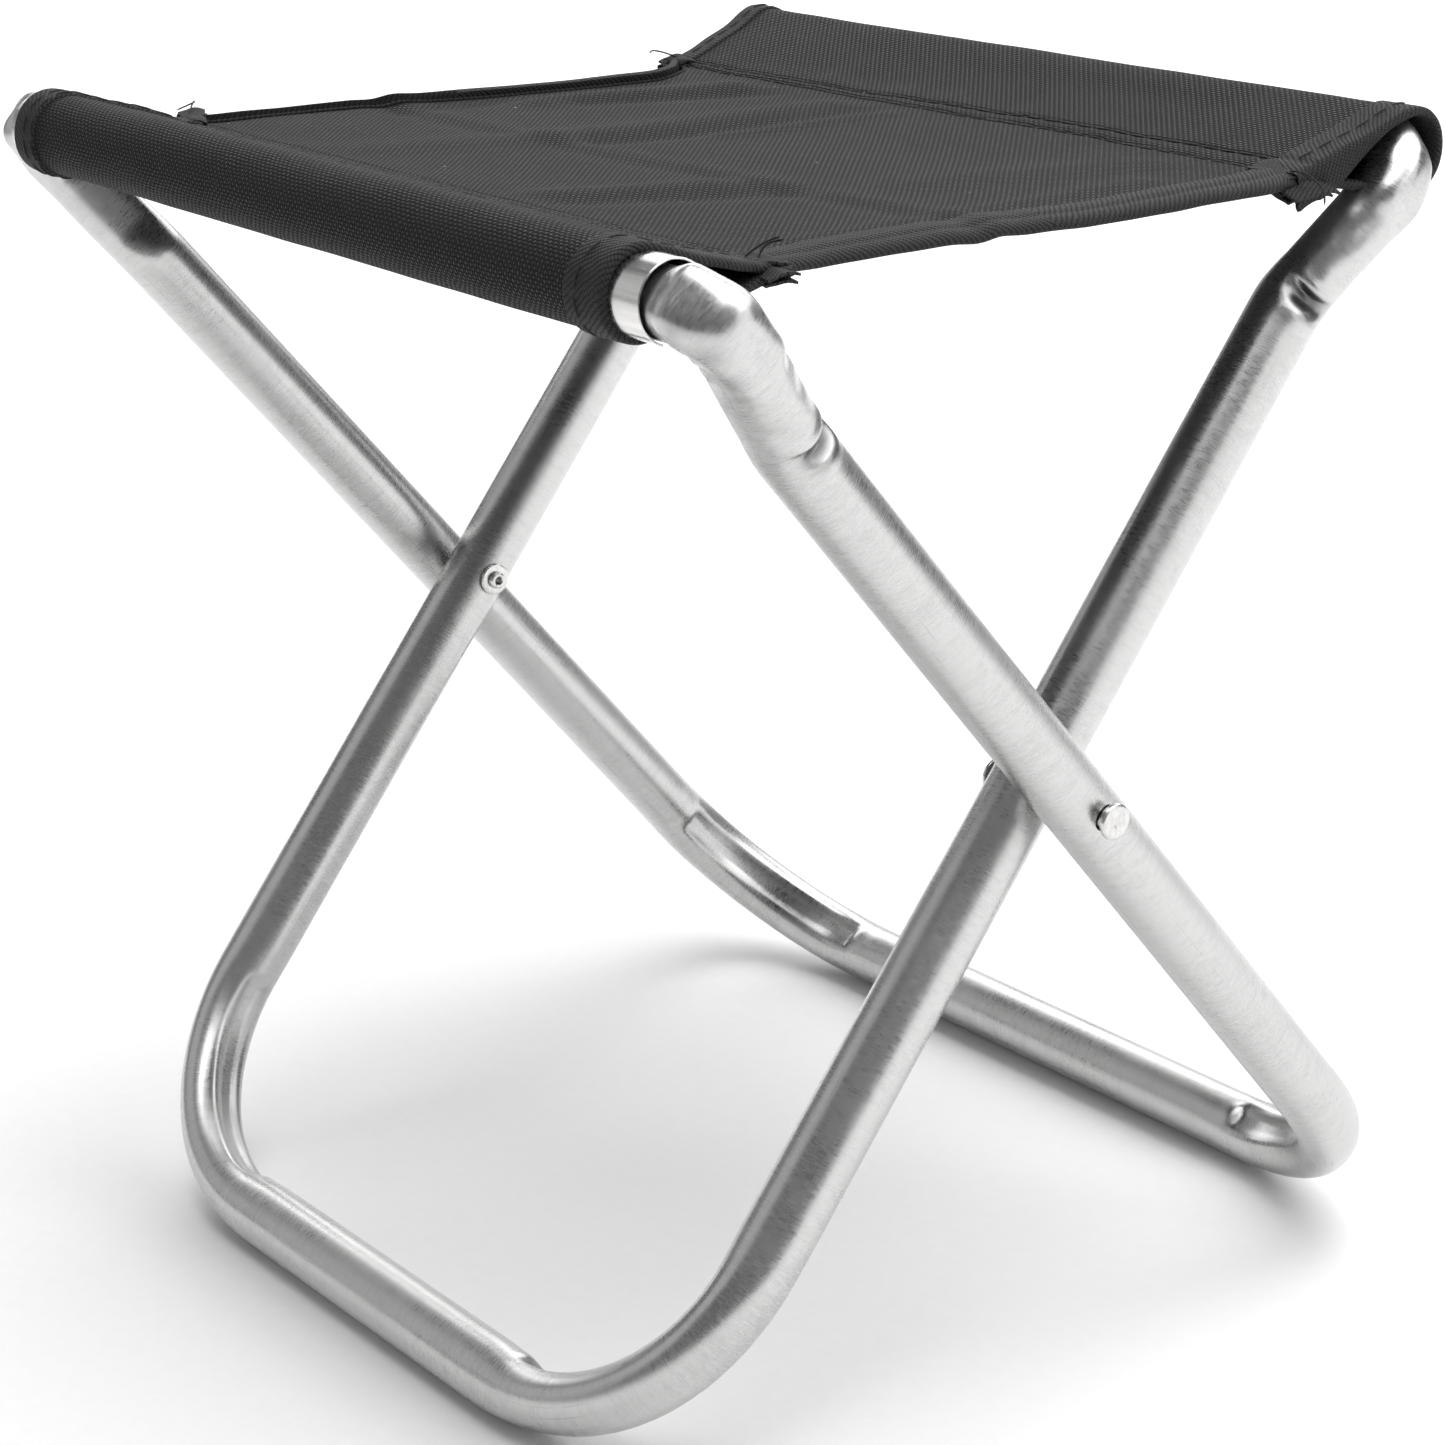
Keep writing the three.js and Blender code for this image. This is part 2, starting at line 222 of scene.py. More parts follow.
YARN_PITCH = 0.833
TWILL_PITCH = 1.35
PICK_PITCH = 0.45
TWIST_PITCH = 0.55
CLOTH_GREY = 0.0165
TAPE_GREY = 0.02
# Painted shade: the far bindings' tape is darker where it faces away from the lights
SHADED_GREY = 0.008
METAL_GREY = 0.61
# Painted shade: the grey the tube darkens towards in its grooves, notches and corner creases
PAINTED_SHADE_GREY = 0.055
LINT_GREY = 0.6

CAMERA_AZIMUTH = 52.03
CAMERA_ELEVATION = 19.88
CAMERA_ROLL = -1.26
CAMERA_PLACE = (0.6003, -0.4692, 0.3990)
CAMERA_LENS = 83.81
SENSOR_WIDTH = 36.0
NEAREST_SEEN = 0.01
FLOOR_HALF = 6.0
FLOOR_DROP = 0.0005
WORLD_STRENGTH = 0.19

# Lights that face the stool: name, azimuth, elevation, distance, size and power, in metres and watts
LIGHTS = [
    ("key_above_right", 138, 66, 2.1, (3.2, 3.2), 66),
    ("overhead", 0, 88, 1.9, (1.4, 1.4), 11),
    ("right", 112, 14, 2.2, (1.8, 1.5), 8.5),
    ("left", -42, 25, 2.2, (1.5, 1.8), 3.4),
    ("behind", 225, 25, 2.4, (2.4, 1.6), 11),
]
WASH_PLACE = (-2.4, 1.9, 1.5)
WASH_SIZE = (5.0, 2.6)
WASH_POWER = 70

# Every piece by its material, and how the cloth's pieces would flatten as the stool folds
PIECES = {kind: [] for kind in ("aluminium", "sleeve", "steel", "cloth", "tape", "painted_shade_tape", "thread")}
SQUASHES = []


# ---- meshes ----

def grid(rows, cols, wrap=False):
    """The quads over rows of points, and the unwrapped row and column of each corner"""
    last = cols if wrap else cols - 1
    r, c = np.meshgrid(np.arange(rows - 1), np.arange(last), indexing="ij")
    corners = [(r, c), (r, c + 1), (r + 1, c + 1), (r + 1, c)]
    quads = np.stack([a * cols + b % cols for a, b in corners], -1).reshape(-1, 4)
    places = np.stack([np.stack([a, b], -1) for a, b in corners], -2).reshape(-1, 4, 2)
    return quads, places


def make_mesh(name, points, faces, uv=None, sharp_deg=40.0, crease_shade=None):
    """A closed, smooth mesh object from points in millimetres

    uv holds each face corner's place on the surface, and the last argument how dark each point's painted
    shade is.
    """
    mesh = bpy.data.meshes.new(name)
    faces = [[int(corner) for corner in face] for face in faces]
    mesh.from_pydata((np.asarray(points, float) * MM).tolist(), [], faces)
    if uv is not None:
        layer = mesh.uv_layers.new(name="Surface")
        layer.data.foreach_set("uv", (np.asarray(uv, np.float32) * MM).ravel())
    if crease_shade is not None:
        # Painted shade for the tube's grooves, notches and creases, kept on each point
        painted_shade = mesh.attributes.new("PaintedShade", "FLOAT", "POINT")
        painted_shade.data.foreach_set("value", np.asarray(crease_shade, np.float32))
    work = bmesh.new()
    work.from_mesh(mesh)
    bmesh.ops.recalc_face_normals(work, faces=work.faces)
    work.to_mesh(mesh)
    work.free()
    mesh.polygons.foreach_set("use_smooth", np.ones(len(mesh.polygons), bool))
    mesh.set_sharp_from_angle(angle=math.radians(sharp_deg))
    return new_object(name, mesh)


def new_object(name, data):
    made = bpy.data.objects.new(name, data)
    bpy.context.scene.collection.objects.link(made)
    return made


def slab_data(outer, inner, uv):
    """A closed sheet between two matching grids of points, as points, faces and corner places"""
    rows, cols = outer.shape[:2]
    count = rows * cols
    quads, _ = grid(rows, cols)
    index = np.arange(count).reshape(rows, cols)
    rim = np.concatenate([index[0, :-1], index[:-1, -1], index[-1, :0:-1], index[:0:-1, 0]])
    after = np.roll(rim, -1)
    edge = np.stack([rim, after, after + count, rim + count], -1)
    faces = np.vstack([quads, quads[:, ::-1] + count, edge])
    points = np.concatenate([outer.reshape(-1, 3), inner.reshape(-1, 3)])
    places = np.concatenate([uv.reshape(-1, 2)] * 2)[faces]
    return points, faces, places.reshape(-1, 2)


def slab(name, outer, inner, uv, sharp_deg=40.0):
    return make_mesh(name, *slab_data(outer, inner, uv), sharp_deg)


def smooth(x, low, high):
    """0 below low, 1 above high, and a smooth rise between"""
    t = np.clip((np.asarray(x, float) - low) / (high - low), 0, 1)
    return t * t * (3 - 2 * t)


def within(x, *marks):
    """A smooth rise between the first two marks and a smooth fall between the last two"""
    return smooth(x, *marks[:2]) * (1 - smooth(x, *marks[2:]))


def bump(x, centre, width):
    return np.exp(-(((np.asarray(x, float) - centre) / width) ** 2))


def distances(points):
    """How far along a line each of its points is"""
    return np.concatenate([[0], np.cumsum(np.linalg.norm(np.diff(points, axis=0), axis=1))])


def ways(points):
    """A line's unit direction at each of its points"""
    way = np.gradient(points, axis=0)
    return way / np.linalg.norm(way, axis=1)[:, None]


def smooth_line(points, count, passes):
    """Evenly spaced points along a line whose corners are cut off again in each pass"""
    points = np.array(points, float)
    for _ in range(passes):
        quarter = points[:-1] * 0.75 + points[1:] * 0.25
        three = points[:-1] * 0.25 + points[1:] * 0.75
        between = np.stack([quarter, three], 1).reshape(-1, points.shape[1])
        points = np.vstack([points[:1], between, points[-1:]])
    length = distances(points)
    even = np.linspace(0, length[-1], count)
    return np.stack([np.interp(even, length, column) for column in points.T], -1)


def pairs(rows, columns):
    """The surface place of each point of a grid, from its rows' and columns' places"""
    return np.stack(np.meshgrid(rows, columns, indexing="ij"), -1)


def heading(angle):
    return np.array([math.cos(angle), math.sin(angle)])


# ---- bent tubes ----

def rounded(corners, step):
    """Points about a step apart along straight lines whose corners are arcs"""
    points = [np.array(corners[0][:2], float)]

    def line_to(end):
        start = points[-1]
        count = max(1, int(np.linalg.norm(end - start) / step))
        points.extend(start + (end - start) * k / count for k in range(1, count + 1))

    for before, here, after in zip(corners, corners[1:], corners[2:]):
        corner = np.array(here[:2], float)
        back = np.array(before[:2]) - corner
        ahead = np.array(after[:2]) - corner
        back, ahead = back / np.linalg.norm(back), ahead / np.linalg.norm(ahead)
        half = math.acos(float(back @ ahead)) / 2
        radius = here[2]
        start = corner + back * radius / math.tan(half)
        middle = back + ahead
        centre = corner + middle / np.linalg.norm(middle) * radius / math.sin(half)
        line_to(start)
        turn = math.pi - 2 * half
        turn *= math.copysign(1, -back[0] * ahead[1] + back[1] * ahead[0])
        count = max(4, int(abs(turn) * (radius + TUBE_RADIUS) / step))
        for k in range(1, count + 1):
            a = turn * k / count
            spin = np.array([[math.cos(a), -math.sin(a)], [math.sin(a), math.cos(a)]])
            points.append(centre + spin @ (start - centre))
    line_to(np.array(corners[-1][:2], float))
    return np.array(points)


def in_space(spec, x, s, n):
    """A frame's plane in space: s up the leg, n out of the plane, upwards"""
    lean = spec["lean"]
    y = lean * (s * math.sin(TILT) - n * math.cos(TILT))
    z = PIVOT_Z + s * math.cos(TILT) + n * math.sin(TILT)
    z = z + racked(spec, x) * smooth(s, TO_KINK, TO_RAIL - 8)
    far = smooth(-np.asarray(x, float), 121, 137)
    x = x + spec["tuck"] * far * smooth(s, TO_KINK + 4, TO_RAIL - 6)
    return np.stack(np.broadcast_arrays(x, y, z), -1)


def racked(spec, x):
    """How much higher a rail runs than drawn, as a frame is bent a little out of true"""
    return spec["rack"] * (0.5 - np.asarray(x, float) / (2 * spec["sleeve_end"]))


def denser(path, spec):
    """The path's points again, closer together at the kinks and the top corners"""
    length = distances(path)
    fine = np.arange(0, length[-1], 0.1)
    s = np.interp(fine, length, path[:, 1])
    x = np.abs(np.interp(fine, length, path[:, 0]))
    past_sleeve = smooth(x, spec["sleeve_end"] - 4, spec["sleeve_end"])
    close = bump(s, TO_KINK, 9) + smooth(s, TO_RAIL - 20, TO_RAIL - 14) * past_sleeve
    low, out = TO_BAR - BAR_BEND_RADIUS, spec["leg"] - BAR_BEND_RADIUS
    bend = smooth(-s, low - 12, low) * smooth(x, out - 12, out)
    step = 1.7 - 0.6 * bend - 1.2 * np.clip(close, 0, 1)
    count = np.concatenate([[0], np.cumsum(0.1 / step[1:])])
    at = np.interp(np.linspace(0, count[-1], int(count[-1]) + 1), count, fine)
    return np.stack([np.interp(at, length, path[:, k]) for k in (0, 1)], -1)


def into_bend(spec, x, s):
    """How far along the tube a place is inside its lower bend; negative outside"""
    high = s - (-TO_BAR + BAR_BEND_RADIUS)
    flat = (spec["leg"] - BAR_BEND_RADIUS) - np.abs(x)
    turn = np.arctan2(np.clip(-high, 0, None), np.clip(-flat, 1e-6, None))
    inside = BAR_BEND_RADIUS * np.minimum(turn, np.pi / 2 - turn)
    return np.where(high > 0, -high, np.where(flat > 0, -flat, inside))


def column(row):
    return np.asarray(row)[:, None]


def press_bend(press, crease_shade, into, from_inner):
    """The groove pressed into the inside of each lower bend, with a shoulder at each end"""
    groove = column(smooth(into, 2.0, 4.6))
    lip = column(bump(into, 0.6, 2.2))
    trough = np.exp(-((from_inner / 0.42) ** 4))
    press += -1.35 * groove * trough + 0.3 * lip * bump(from_inner, 0, 0.6)
    press += 0.2 * groove * bump(from_inner, 0.62, 0.16)
    press -= 0.5 * column(smooth(into, -8, 14)) * bump(from_inner, 0, 0.9)
    # Painted shade darkens the groove's trough
    crease_shade += 0.35 * groove * bump(from_inner, 0.40, 0.12)


def press_kink(press, crease_shade, s, angle):
    """The notch across each kink: a sharp step down from above, fading out below"""
    turned = angle - math.radians(20)
    around = np.exp(-((wrapped(turned) / 0.78) ** 4))
    slant = column(s) - (TO_KINK + 2.6) - 2.2 * wrapped(turned) ** 2
    press -= 2.1 * around * within(-slant, -0.2, 1.5, 2.6, 7.5)
    press += 0.5 * around * bump(slant, 1.2, 1.3)
    press += 0.25 * around * bump(slant, -8.5, 1.6)
    press -= 0.45 * bump(slant, 6.0, 2.4) * bump(wrapped(turned + 0.5), 0, 0.7)
    # Painted shade darkens the notch's step and the fold below it
    crease_shade += 0.96 * around * within(-slant, -0.6, 0.6, 4.4, 7.4) + 0.4 * around * bump(slant, -8.0, 0.9)


def press_corner(press, crease_shade, spec, path, length, angle):
    """The top corner: squarer, with flats, ridges and wrinkles where the tube was forced round"""
    x, s = path[:, 0], path[:, 1]
    side = np.abs(x)
    from_inner = np.pi - np.abs(angle)
    start = corner_start(spec)
    corner = column(smooth(side, start - 3, start + 3) * smooth(s, TO_RAIL - 19, TO_RAIL - 11))
    press += 0.65 * corner * np.cos(4 * (angle - math.radians(37)))
    wave = np.sin(2 * np.pi * column(length) / 5.2 + 1.1 * np.sin(3 * angle + spec["lean"]))
    press += 0.34 * corner * wave * bump(from_inner, 0, 0.9)
    pinch = bump(column(side - s), spec["corner"] - TO_RAIL, 4.5) * corner
    press -= 1.0 * pinch * bump(from_inner, 0, 0.8)
    bulge = column(np.where(x > 0, spec["bulge"][1], spec["bulge"][0]))
    at_corner = bump(column(side - s), spec["corner"] - TO_RAIL, 4.0) * corner
    press += bulge * at_corner * bump(angle, 0, 1.0)
    press -= 0.8 * pinch * bump(wrapped(angle + 0.95), 0, 0.42)
    press -= 0.5 * pinch * bump(wrapped(angle - 0.75), 0, 0.3)
    ridge = column(within(s, TO_KINK + 8, TO_KINK + 20, TO_RAIL - 12, TO_RAIL - 6))
    press -= 0.35 * ridge * bump(wrapped(angle - 0.5), 0, 0.3)
    press += 0.2 * ridge * np.sin(column(s) * 0.8) * bump(wrapped(angle - 0.9), 0, 0.5)
    # Painted shade darkens the pinched inside of the corner and the crease along it
    crease_shade += 0.25 * corner * pinch * bump(from_inner, 0.0, 0.8)
    crease_shade += 0.3 * corner * bump(wrapped(angle + 0.95), 0, 0.3) * (0.5 + 0.5 * wave)


def press_dents(press, spec, path, angle):
    """Single knocks, and the shallow dimple at the rivet"""
    x, s = path[:, 0], path[:, 1]
    for lean, way, x0, s0, turn, size, deep in DENTS:
        if lean == spec["lean"]:
            near = column((x - way * x0) ** 2 + (s - s0) ** 2)
            near = near + (TUBE_RADIUS * wrapped(angle - turn)) ** 2
            press -= deep * np.exp(-near / size ** 2)
    dimple_side = np.pi - np.abs(angle) if spec["lean"] < 0 else angle
    press -= 0.55 * bump(column(s), 0, 7.5) * bump(dimple_side, 0, 0.55)


def corner_start(spec):
    """How far out the top corner's bend begins"""
    return spec["corner"] - 1.36 * spec["corner_radius"]


def tube_section(spec, path, sides):
    """The tube's surface: rows of rings in the frame's own x, s and n, and how much painted shade each point
    gets
    """
    along = ways(path)
    outward = np.stack([-along[:, 1], along[:, 0]], -1)
    x, s = path[:, 0], path[:, 1]
    length = distances(path)
    angle = wrapped(2 * np.pi * np.arange(sides) / sides)[None, :]
    facing, rising = np.cos(angle), np.sin(angle)

    # How far each place is into the lower bends, the flared top and the stubs
    into = into_bend(spec, x, s)
    in_bend = smooth(into, -8, 14)
    flare = within(s, TO_KINK - 2, TO_KINK + 7, TO_RAIL - 11, TO_RAIL - 4)
    past_stub = smooth(np.abs(x), spec["sleeve_end"], corner_start(spec) + 5.5)
    stub = smooth(s, TO_RAIL - 0.4, TO_RAIL) * (1 - past_stub)

    reach = TUBE_RADIUS * (1 - 0.13 * column(in_bend)) * np.ones_like(facing)
    inner = reach - spec["neck"] * column(flare)
    reach = np.where(facing < 0, inner * facing ** 2 + reach * rising ** 2, reach)
    across = TUBE_RADIUS * (1 + 0.055 * column(in_bend) - 0.03 * column(flare)) * np.ones_like(facing)
    thin = 1 - (1 - STUB_RADIUS / TUBE_RADIUS) * column(stub)
    reach, across = reach * thin, across * thin

    press, crease_shade = np.zeros(reach.shape), np.zeros(reach.shape)
    press_bend(press, crease_shade, into, np.pi - np.abs(angle))
    press_kink(press, crease_shade, s, angle)
    press_corner(press, crease_shade, spec, path, length, angle)
    press_dents(press, spec, path, angle)

    drop = -STUB_DROP * column(stub)
    shift = (reach + press) * facing
    px = column(x) + outward[:, :1] * shift
    ps = column(s) + outward[:, 1:] * shift + drop * math.cos(TILT)
    pn = (across + press) * rising + drop * math.sin(TILT)
    return px, ps, pn, length, np.clip(crease_shade, 0, 1)


def wrapped(angle):
    return (angle + np.pi) % (2 * np.pi) - np.pi


def make_tube(spec):
    half = [
        (spec["stub"], TO_RAIL),
        (spec["corner"], TO_RAIL, spec["corner_radius"]),
        (spec["leg"], TO_KINK, KINK_RADIUS),
        (spec["leg"], -TO_BAR, BAR_BEND_RADIUS),
        (0, -TO_BAR),
    ]
    one = denser(rounded(half, 1.0), spec)
    path = np.vstack([one, (one * [-1, 1])[::-1][1:]])
    sides = TUBE_SIDES
    px, ps, pn, length, crease_shade = tube_section(spec, path, sides)
    rows = len(path)
    surface = in_space(spec, px, ps, pn).reshape(-1, 3)
    quads, places = grid(rows, sides, wrap=True)
    uv = np.stack([length[places[..., 0]], places[..., 1] * 2 * np.pi * TUBE_RADIUS / sides], -1)

    # Each open end goes a little way in and is closed there, out of sight in its sleeve
    parts_points, parts_faces, parts_uv = [surface], quads.tolist(), [uv.reshape(-1, 2)]
    base = len(surface)
    for row in (0, rows - 1):
        ring = np.stack([px[row], ps[row], pn[row]], -1)
        middle = ring.mean(0)
        bore = middle + (ring - middle) * [1, BORE_SHARE, BORE_SHARE]
        deep = bore + [math.copysign(BORE_DEPTH, path[row, 0]), 0, 0]
        points = np.vstack([bore, deep])
        parts_points.append(in_space(spec, points[:, 0], points[:, 1], points[:, 2]))
        k = np.arange(sides)
        after = (k + 1) % sides
        edge = row * sides
        for a, b in ((edge, base), (base, base + sides)):
            parts_faces.extend(np.stack([a + k, a + after, b + after, b + k], -1).tolist())
            parts_uv.append(np.zeros((4 * sides, 2)))
        parts_faces.append((base + sides + k).tolist())
        parts_uv.append(np.zeros((sides, 2)))
        base += 2 * sides
    name = f"{spec['name']}_tube"
    points = np.vstack(parts_points)
    # Painted shade for each point; the closed ends inside the sleeves get a middling amount
    painted_shade = np.concatenate([crease_shade.ravel(), np.full(len(points) - crease_shade.size, 0.5)])
    tube = make_mesh(name, points, parts_faces, np.vstack(parts_uv), 50, painted_shade)
    cut_rivet_holes(tube, spec)
    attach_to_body(tube, f"{spec['name']}_frame")
    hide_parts(f"{spec['name']}_frame_tube")
    return tube


def cut_rivet_holes(tube, spec):
    """Cuts each leg through for its rivet, and the outer legs' larger hole under the head"""
    rods = []
    for side in (-1, 1):
        leg = spec["leg"]
        rods.append((RIVET_HOLE, side * leg - PAST_LEG, side * leg + PAST_LEG))
        if spec["lean"] < 0:
            rods.append((HEAD_HOLE, *sorted((side * (leg + HEAD_HOLE_FROM), side * (leg + PAST_LEG)))))
    cutter = new_object("cutter", bpy.data.meshes.new("cutter"))
    work = bmesh.new()
    for radius, low, high in rods:
        place = Matrix.Translation(Vector(((low + high) / 2, 0, PIVOT_Z)) * MM)
        place = place @ Matrix.Rotation(math.pi / 2, 4, "Y")
        bmesh.ops.create_cone(
            work, cap_ends=True, segments=32, radius1=radius * MM, radius2=radius * MM,
            depth=(high - low) * MM, matrix=place,
        )
    work.to_mesh(cutter.data)
    work.free()
    cut = tube.modifiers.new("holes", "BOOLEAN")
    cut.operation = "DIFFERENCE"
    cut.solver = "EXACT"
    cut.use_self = True
    cut.object = cutter
    apply_modifiers(tube)
    bpy.data.objects.remove(cutter)
    tube.data.set_sharp_from_angle(angle=math.radians(50))


def apply_modifiers(piece):
    """Keeps the mesh as its modifiers leave it"""
    graph = bpy.context.evaluated_depsgraph_get()
    mesh = bpy.data.meshes.new_from_object(piece.evaluated_get(graph))
    piece.modifiers.clear()
    piece.data = mesh


# ---- sleeves and rivets ----

def make_sleeve(spec):
    """Rolled strip, open below and inside, with a lip over the top"""
    first = math.radians(SLEEVE_FROM_DEG)
    angles = np.radians(np.linspace(SLEEVE_FROM_DEG, SLEEVE_TO_DEG, 72))

    def strip(radius):
        ring = radius * np.stack([np.cos(angles), np.sin(angles)], -1)
        lip_way = np.array([math.sin(first), -math.cos(first)])
        lip = [ring[0] + reach * lip_way for reach in np.linspace(SLEEVE_LIP, 0, 5)[:-1]]
        return np.vstack([lip, ring])

    def face(radius, xs):
        section = strip(radius)
        rows = [
            np.stack([
                np.full(len(section), x), spec["lean"] * (RAIL_Y - section[:, 0]),
                RAIL_Z + racked(spec, x) + section[:, 1],
            ], -1)
            for x in xs
        ]
        return np.array(rows), section

    end = spec["sleeve_end"]
    middle_xs = np.linspace(-end + 3, end - 3, 30)
    xs = np.concatenate([[-end, -end + SLEEVE_BEVEL], middle_xs, [end - SLEEVE_BEVEL, end]])
    outer, section = face(SLEEVE_RADIUS, xs)
    inner, _ = face(SLEEVE_RADIUS - SLEEVE_WALL, xs)
    for row in (0, -1):
        middle = (outer[row] + inner[row]) / 2
        outer[row] += (middle - outer[row]) * 0.5
        inner[row] += (middle - inner[row]) * 0.5
    around = distances(section)
    piece = slab(f"{spec['sleeve']}_strip", outer, inner, pairs(xs, around), 35)
    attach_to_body(piece, f"{spec['name']}_frame")
    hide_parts(spec["sleeve"])
    return piece


def lathe(name, profile, side, sides=48):
    """A solid of revolution about the pivot axis; the profile is radius and distance from the middle"""
    profile = np.array(profile, float)
    angle = 2 * np.pi * np.arange(sides) / sides
    radius, x = profile[:, 0], profile[:, 1]
    inner = radius > 1e-6
    rings = profile[inner]
    points = np.stack([
        side * np.repeat(rings[:, 1], sides),
        np.outer(rings[:, 0], np.cos(angle)).ravel(),
        PIVOT_Z + np.outer(rings[:, 0], np.sin(angle)).ravel(),
    ], -1)
    faces = grid(len(rings), sides, wrap=True)[0].tolist()
    if inner.all():
        k = np.arange(sides)
        last = (len(rings) - 1) * sides
        faces += np.stack([last + k, last + (k + 1) % sides, (k + 1) % sides, k], -1).tolist()
    else:
        for ring, tip in ((0, x[0]), (len(rings) - 1, x[-1])):
            points = np.vstack([points, [[side * tip, 0, PIVOT_Z]]])
            k = ring * sides + np.arange(sides)
            after = ring * sides + (np.arange(sides) + 1) % sides
            faces += np.stack([k, after, np.full(sides, len(points) - 1)], -1).tolist()
    return make_mesh(name, points, faces, None, 35)


def arc_points(centre, radius, from_deg, to_deg, count=5):
    """A rounded edge of a lathe profile, as radius and distance"""
    for k in range(count + 1):
        a = math.radians(from_deg + (to_deg - from_deg) * k / count)
        yield (centre[0] + radius * math.cos(a), centre[1] + radius * math.sin(a))


def make_rivets():
    """Semi-tubular rivets: a flat round head outside, a rolled tail on a washer inside"""
    for side, name in SIDES.items():
        outside = OUTER["leg"] + TUBE_RADIUS
        top = outside + HEAD_STAND
        under = top - HEAD_THICK
        washer_face = INNER["leg"] - TUBE_RADIUS - RIVET_GAP
        tail = washer_face - WASHER - RIVET_GAP
        end = tail - TAIL_ROLL
        profile = [(0, end + 3), (RIVET_BORE, end + 3), (RIVET_BORE, end + 0.5)]
        profile += arc_points((1.45, end + 0.5), 0.55, 180, 270)
        profile += arc_points((1.65, end + 0.55), 0.55, 270, 360)
        profile += [(2.2, tail), (RIVET_SHANK, tail), (RIVET_SHANK, outside - 1.5)]
        profile += [(2.6, outside - 1.5), (2.6, under)]
        profile += arc_points((3.75, under + 0.25), 0.25, 270, 360, 3)
        profile += arc_points((3.3, top - 0.7), 0.7, 0, 90)
        profile += [(1.3, top), (0.9, top - 0.22), (0, top - 0.3)]
        rivet = lathe(f"{name}_rivet_turned", profile, side)
        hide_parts(f"{name}_rivet")
        back = washer_face - WASHER
        ring = [(RIVET_HOLE, back + 0.1), (2.05, back)]
        ring += arc_points((3.8, back + 0.3), 0.3, 270, 360, 3)
        ring += arc_points((3.9, washer_face - 0.2), 0.2, 0, 90, 3)
        ring += [(RIVET_HOLE, washer_face)]
        washer = lathe(f"{name}_washer_turned", ring, side)
        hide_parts(f"{name}_rivet_washer")
        for piece in (rivet, washer):
            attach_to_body(piece, "pivots")
            PIECES["steel"].append(piece)


# ---- the seat's shape ----

TOUCH = math.pi / 2 + POCKET_SLOPE
TOUCH_V = RAIL_Y + WRAP_RADIUS * math.cos(TOUCH)
TOUCH_Z = RAIL_Z + WRAP_RADIUS * math.sin(TOUCH)


def cloth_line():
    """The outer face from the seat's middle round to the seam below: t, |y| and z"""
    v = np.linspace(0, TOUCH_V, 500)
    slope = math.tan(POCKET_SLOPE) * smooth(v, 66.5, 74.5)
    z = np.concatenate([[0], np.cumsum((slope[1:] + slope[:-1]) / 2 * np.diff(v))])
    z += TOUCH_Z - z[-1]

    # Back underneath: a straight line to the seam, then flat against the panel's underside
    under_gap = 2 * CLOTH + 0.1
    knee = np.array([UNDER_KNEE, np.interp(UNDER_KNEE, v, z) - under_gap])
    to_knee = knee - [RAIL_Y, RAIL_Z]
    away = np.linalg.norm(to_knee)
    leave = math.atan2(to_knee[1], to_knee[0]) + math.acos(WRAP_RADIUS / away)
    if leave > 0:
        leave -= 2 * math.pi
    angles = np.linspace(TOUCH, leave, 140)[1:]
    arc = np.array([RAIL_Y, RAIL_Z]) + WRAP_RADIUS * np.stack([np.cos(angles), np.sin(angles)], -1)
    line = arc[-1] + (knee - arc[-1]) * np.linspace(0, 1, 120)[1:, None]
    flat_v = np.linspace(UNDER_KNEE, UNDER_END, 30)[1:]
    flat = np.stack([flat_v, np.interp(flat_v, v, z) - under_gap], -1)
    points = np.vstack([np.stack([v, z], -1), arc, line, flat])
    t = distances(points)
    marks = {"touch": t[len(v) - 1], "leave": t[len(v) - 1 + len(arc)], "end": t[-1]}
    marks["knee"] = t[len(v) - 1 + len(arc) + len(line)]
    fine = np.arange(0, t[-1], LINE_STEP)
    even = np.stack([np.interp(fine, t, points[:, 0]), np.interp(fine, t, points[:, 1])], -1)
    return fine, even, marks, arc[-1]


LINE_T, LINE_POINTS, MARKS, LEAVE_POINT = cloth_line()
LINE_WAY = ways(LINE_POINTS)
ON_TOP = int(MARKS["touch"] / LINE_STEP)
PANEL_Z = LINE_POINTS[0, 1]


def spread(points, reach=4.0):
    """A smoothed line through (distance, value) points, over both halves of the seat"""
    at = np.arange(-180, 180.1, 0.5)
    values = np.interp(at, *zip(*points))
    weights = np.exp(-((np.arange(-20, 20.1, 0.5) / reach) ** 2))
    padded = np.pad(values, len(weights) // 2, mode="edge")
    return at, np.convolve(padded, weights / weights.sum(), "valid")


# How far the cloth reaches to either side, by distance from the seat's middle, front negative
RIGHT_RIM = spread([
    (-172, 109.5), (-138, 111.5), (-120, 112.2), (-110, 112.8), (-102, 114), (-96, 113.8), (-85, 112.3),
    (-73, 108.8), (-66, 106.0), (-55, 105.5),
    (-35, 107.5), (-10, 110.5), (10, 113.5), (35, 115.5), (60, 116.7), (68, 115), (73, 114), (85, 115),
    (103, 116.5), (138, 115.5), (172, 113),
], 3.0)
LEFT_RIM = spread([
    (-172, -117), (-103, -118.5), (-96, -120), (-80, -121), (-70, -120.5), (-60, -116), (-40, -113.5),
    (-15, -108.5), (0, -105.5), (25, -100), (45, -97), (56, -94.5), (63, -98), (70, -107), (76, -107.5),
    (96, -112.5), (103, -115), (138, -115), (172, -107),
], 3.0)

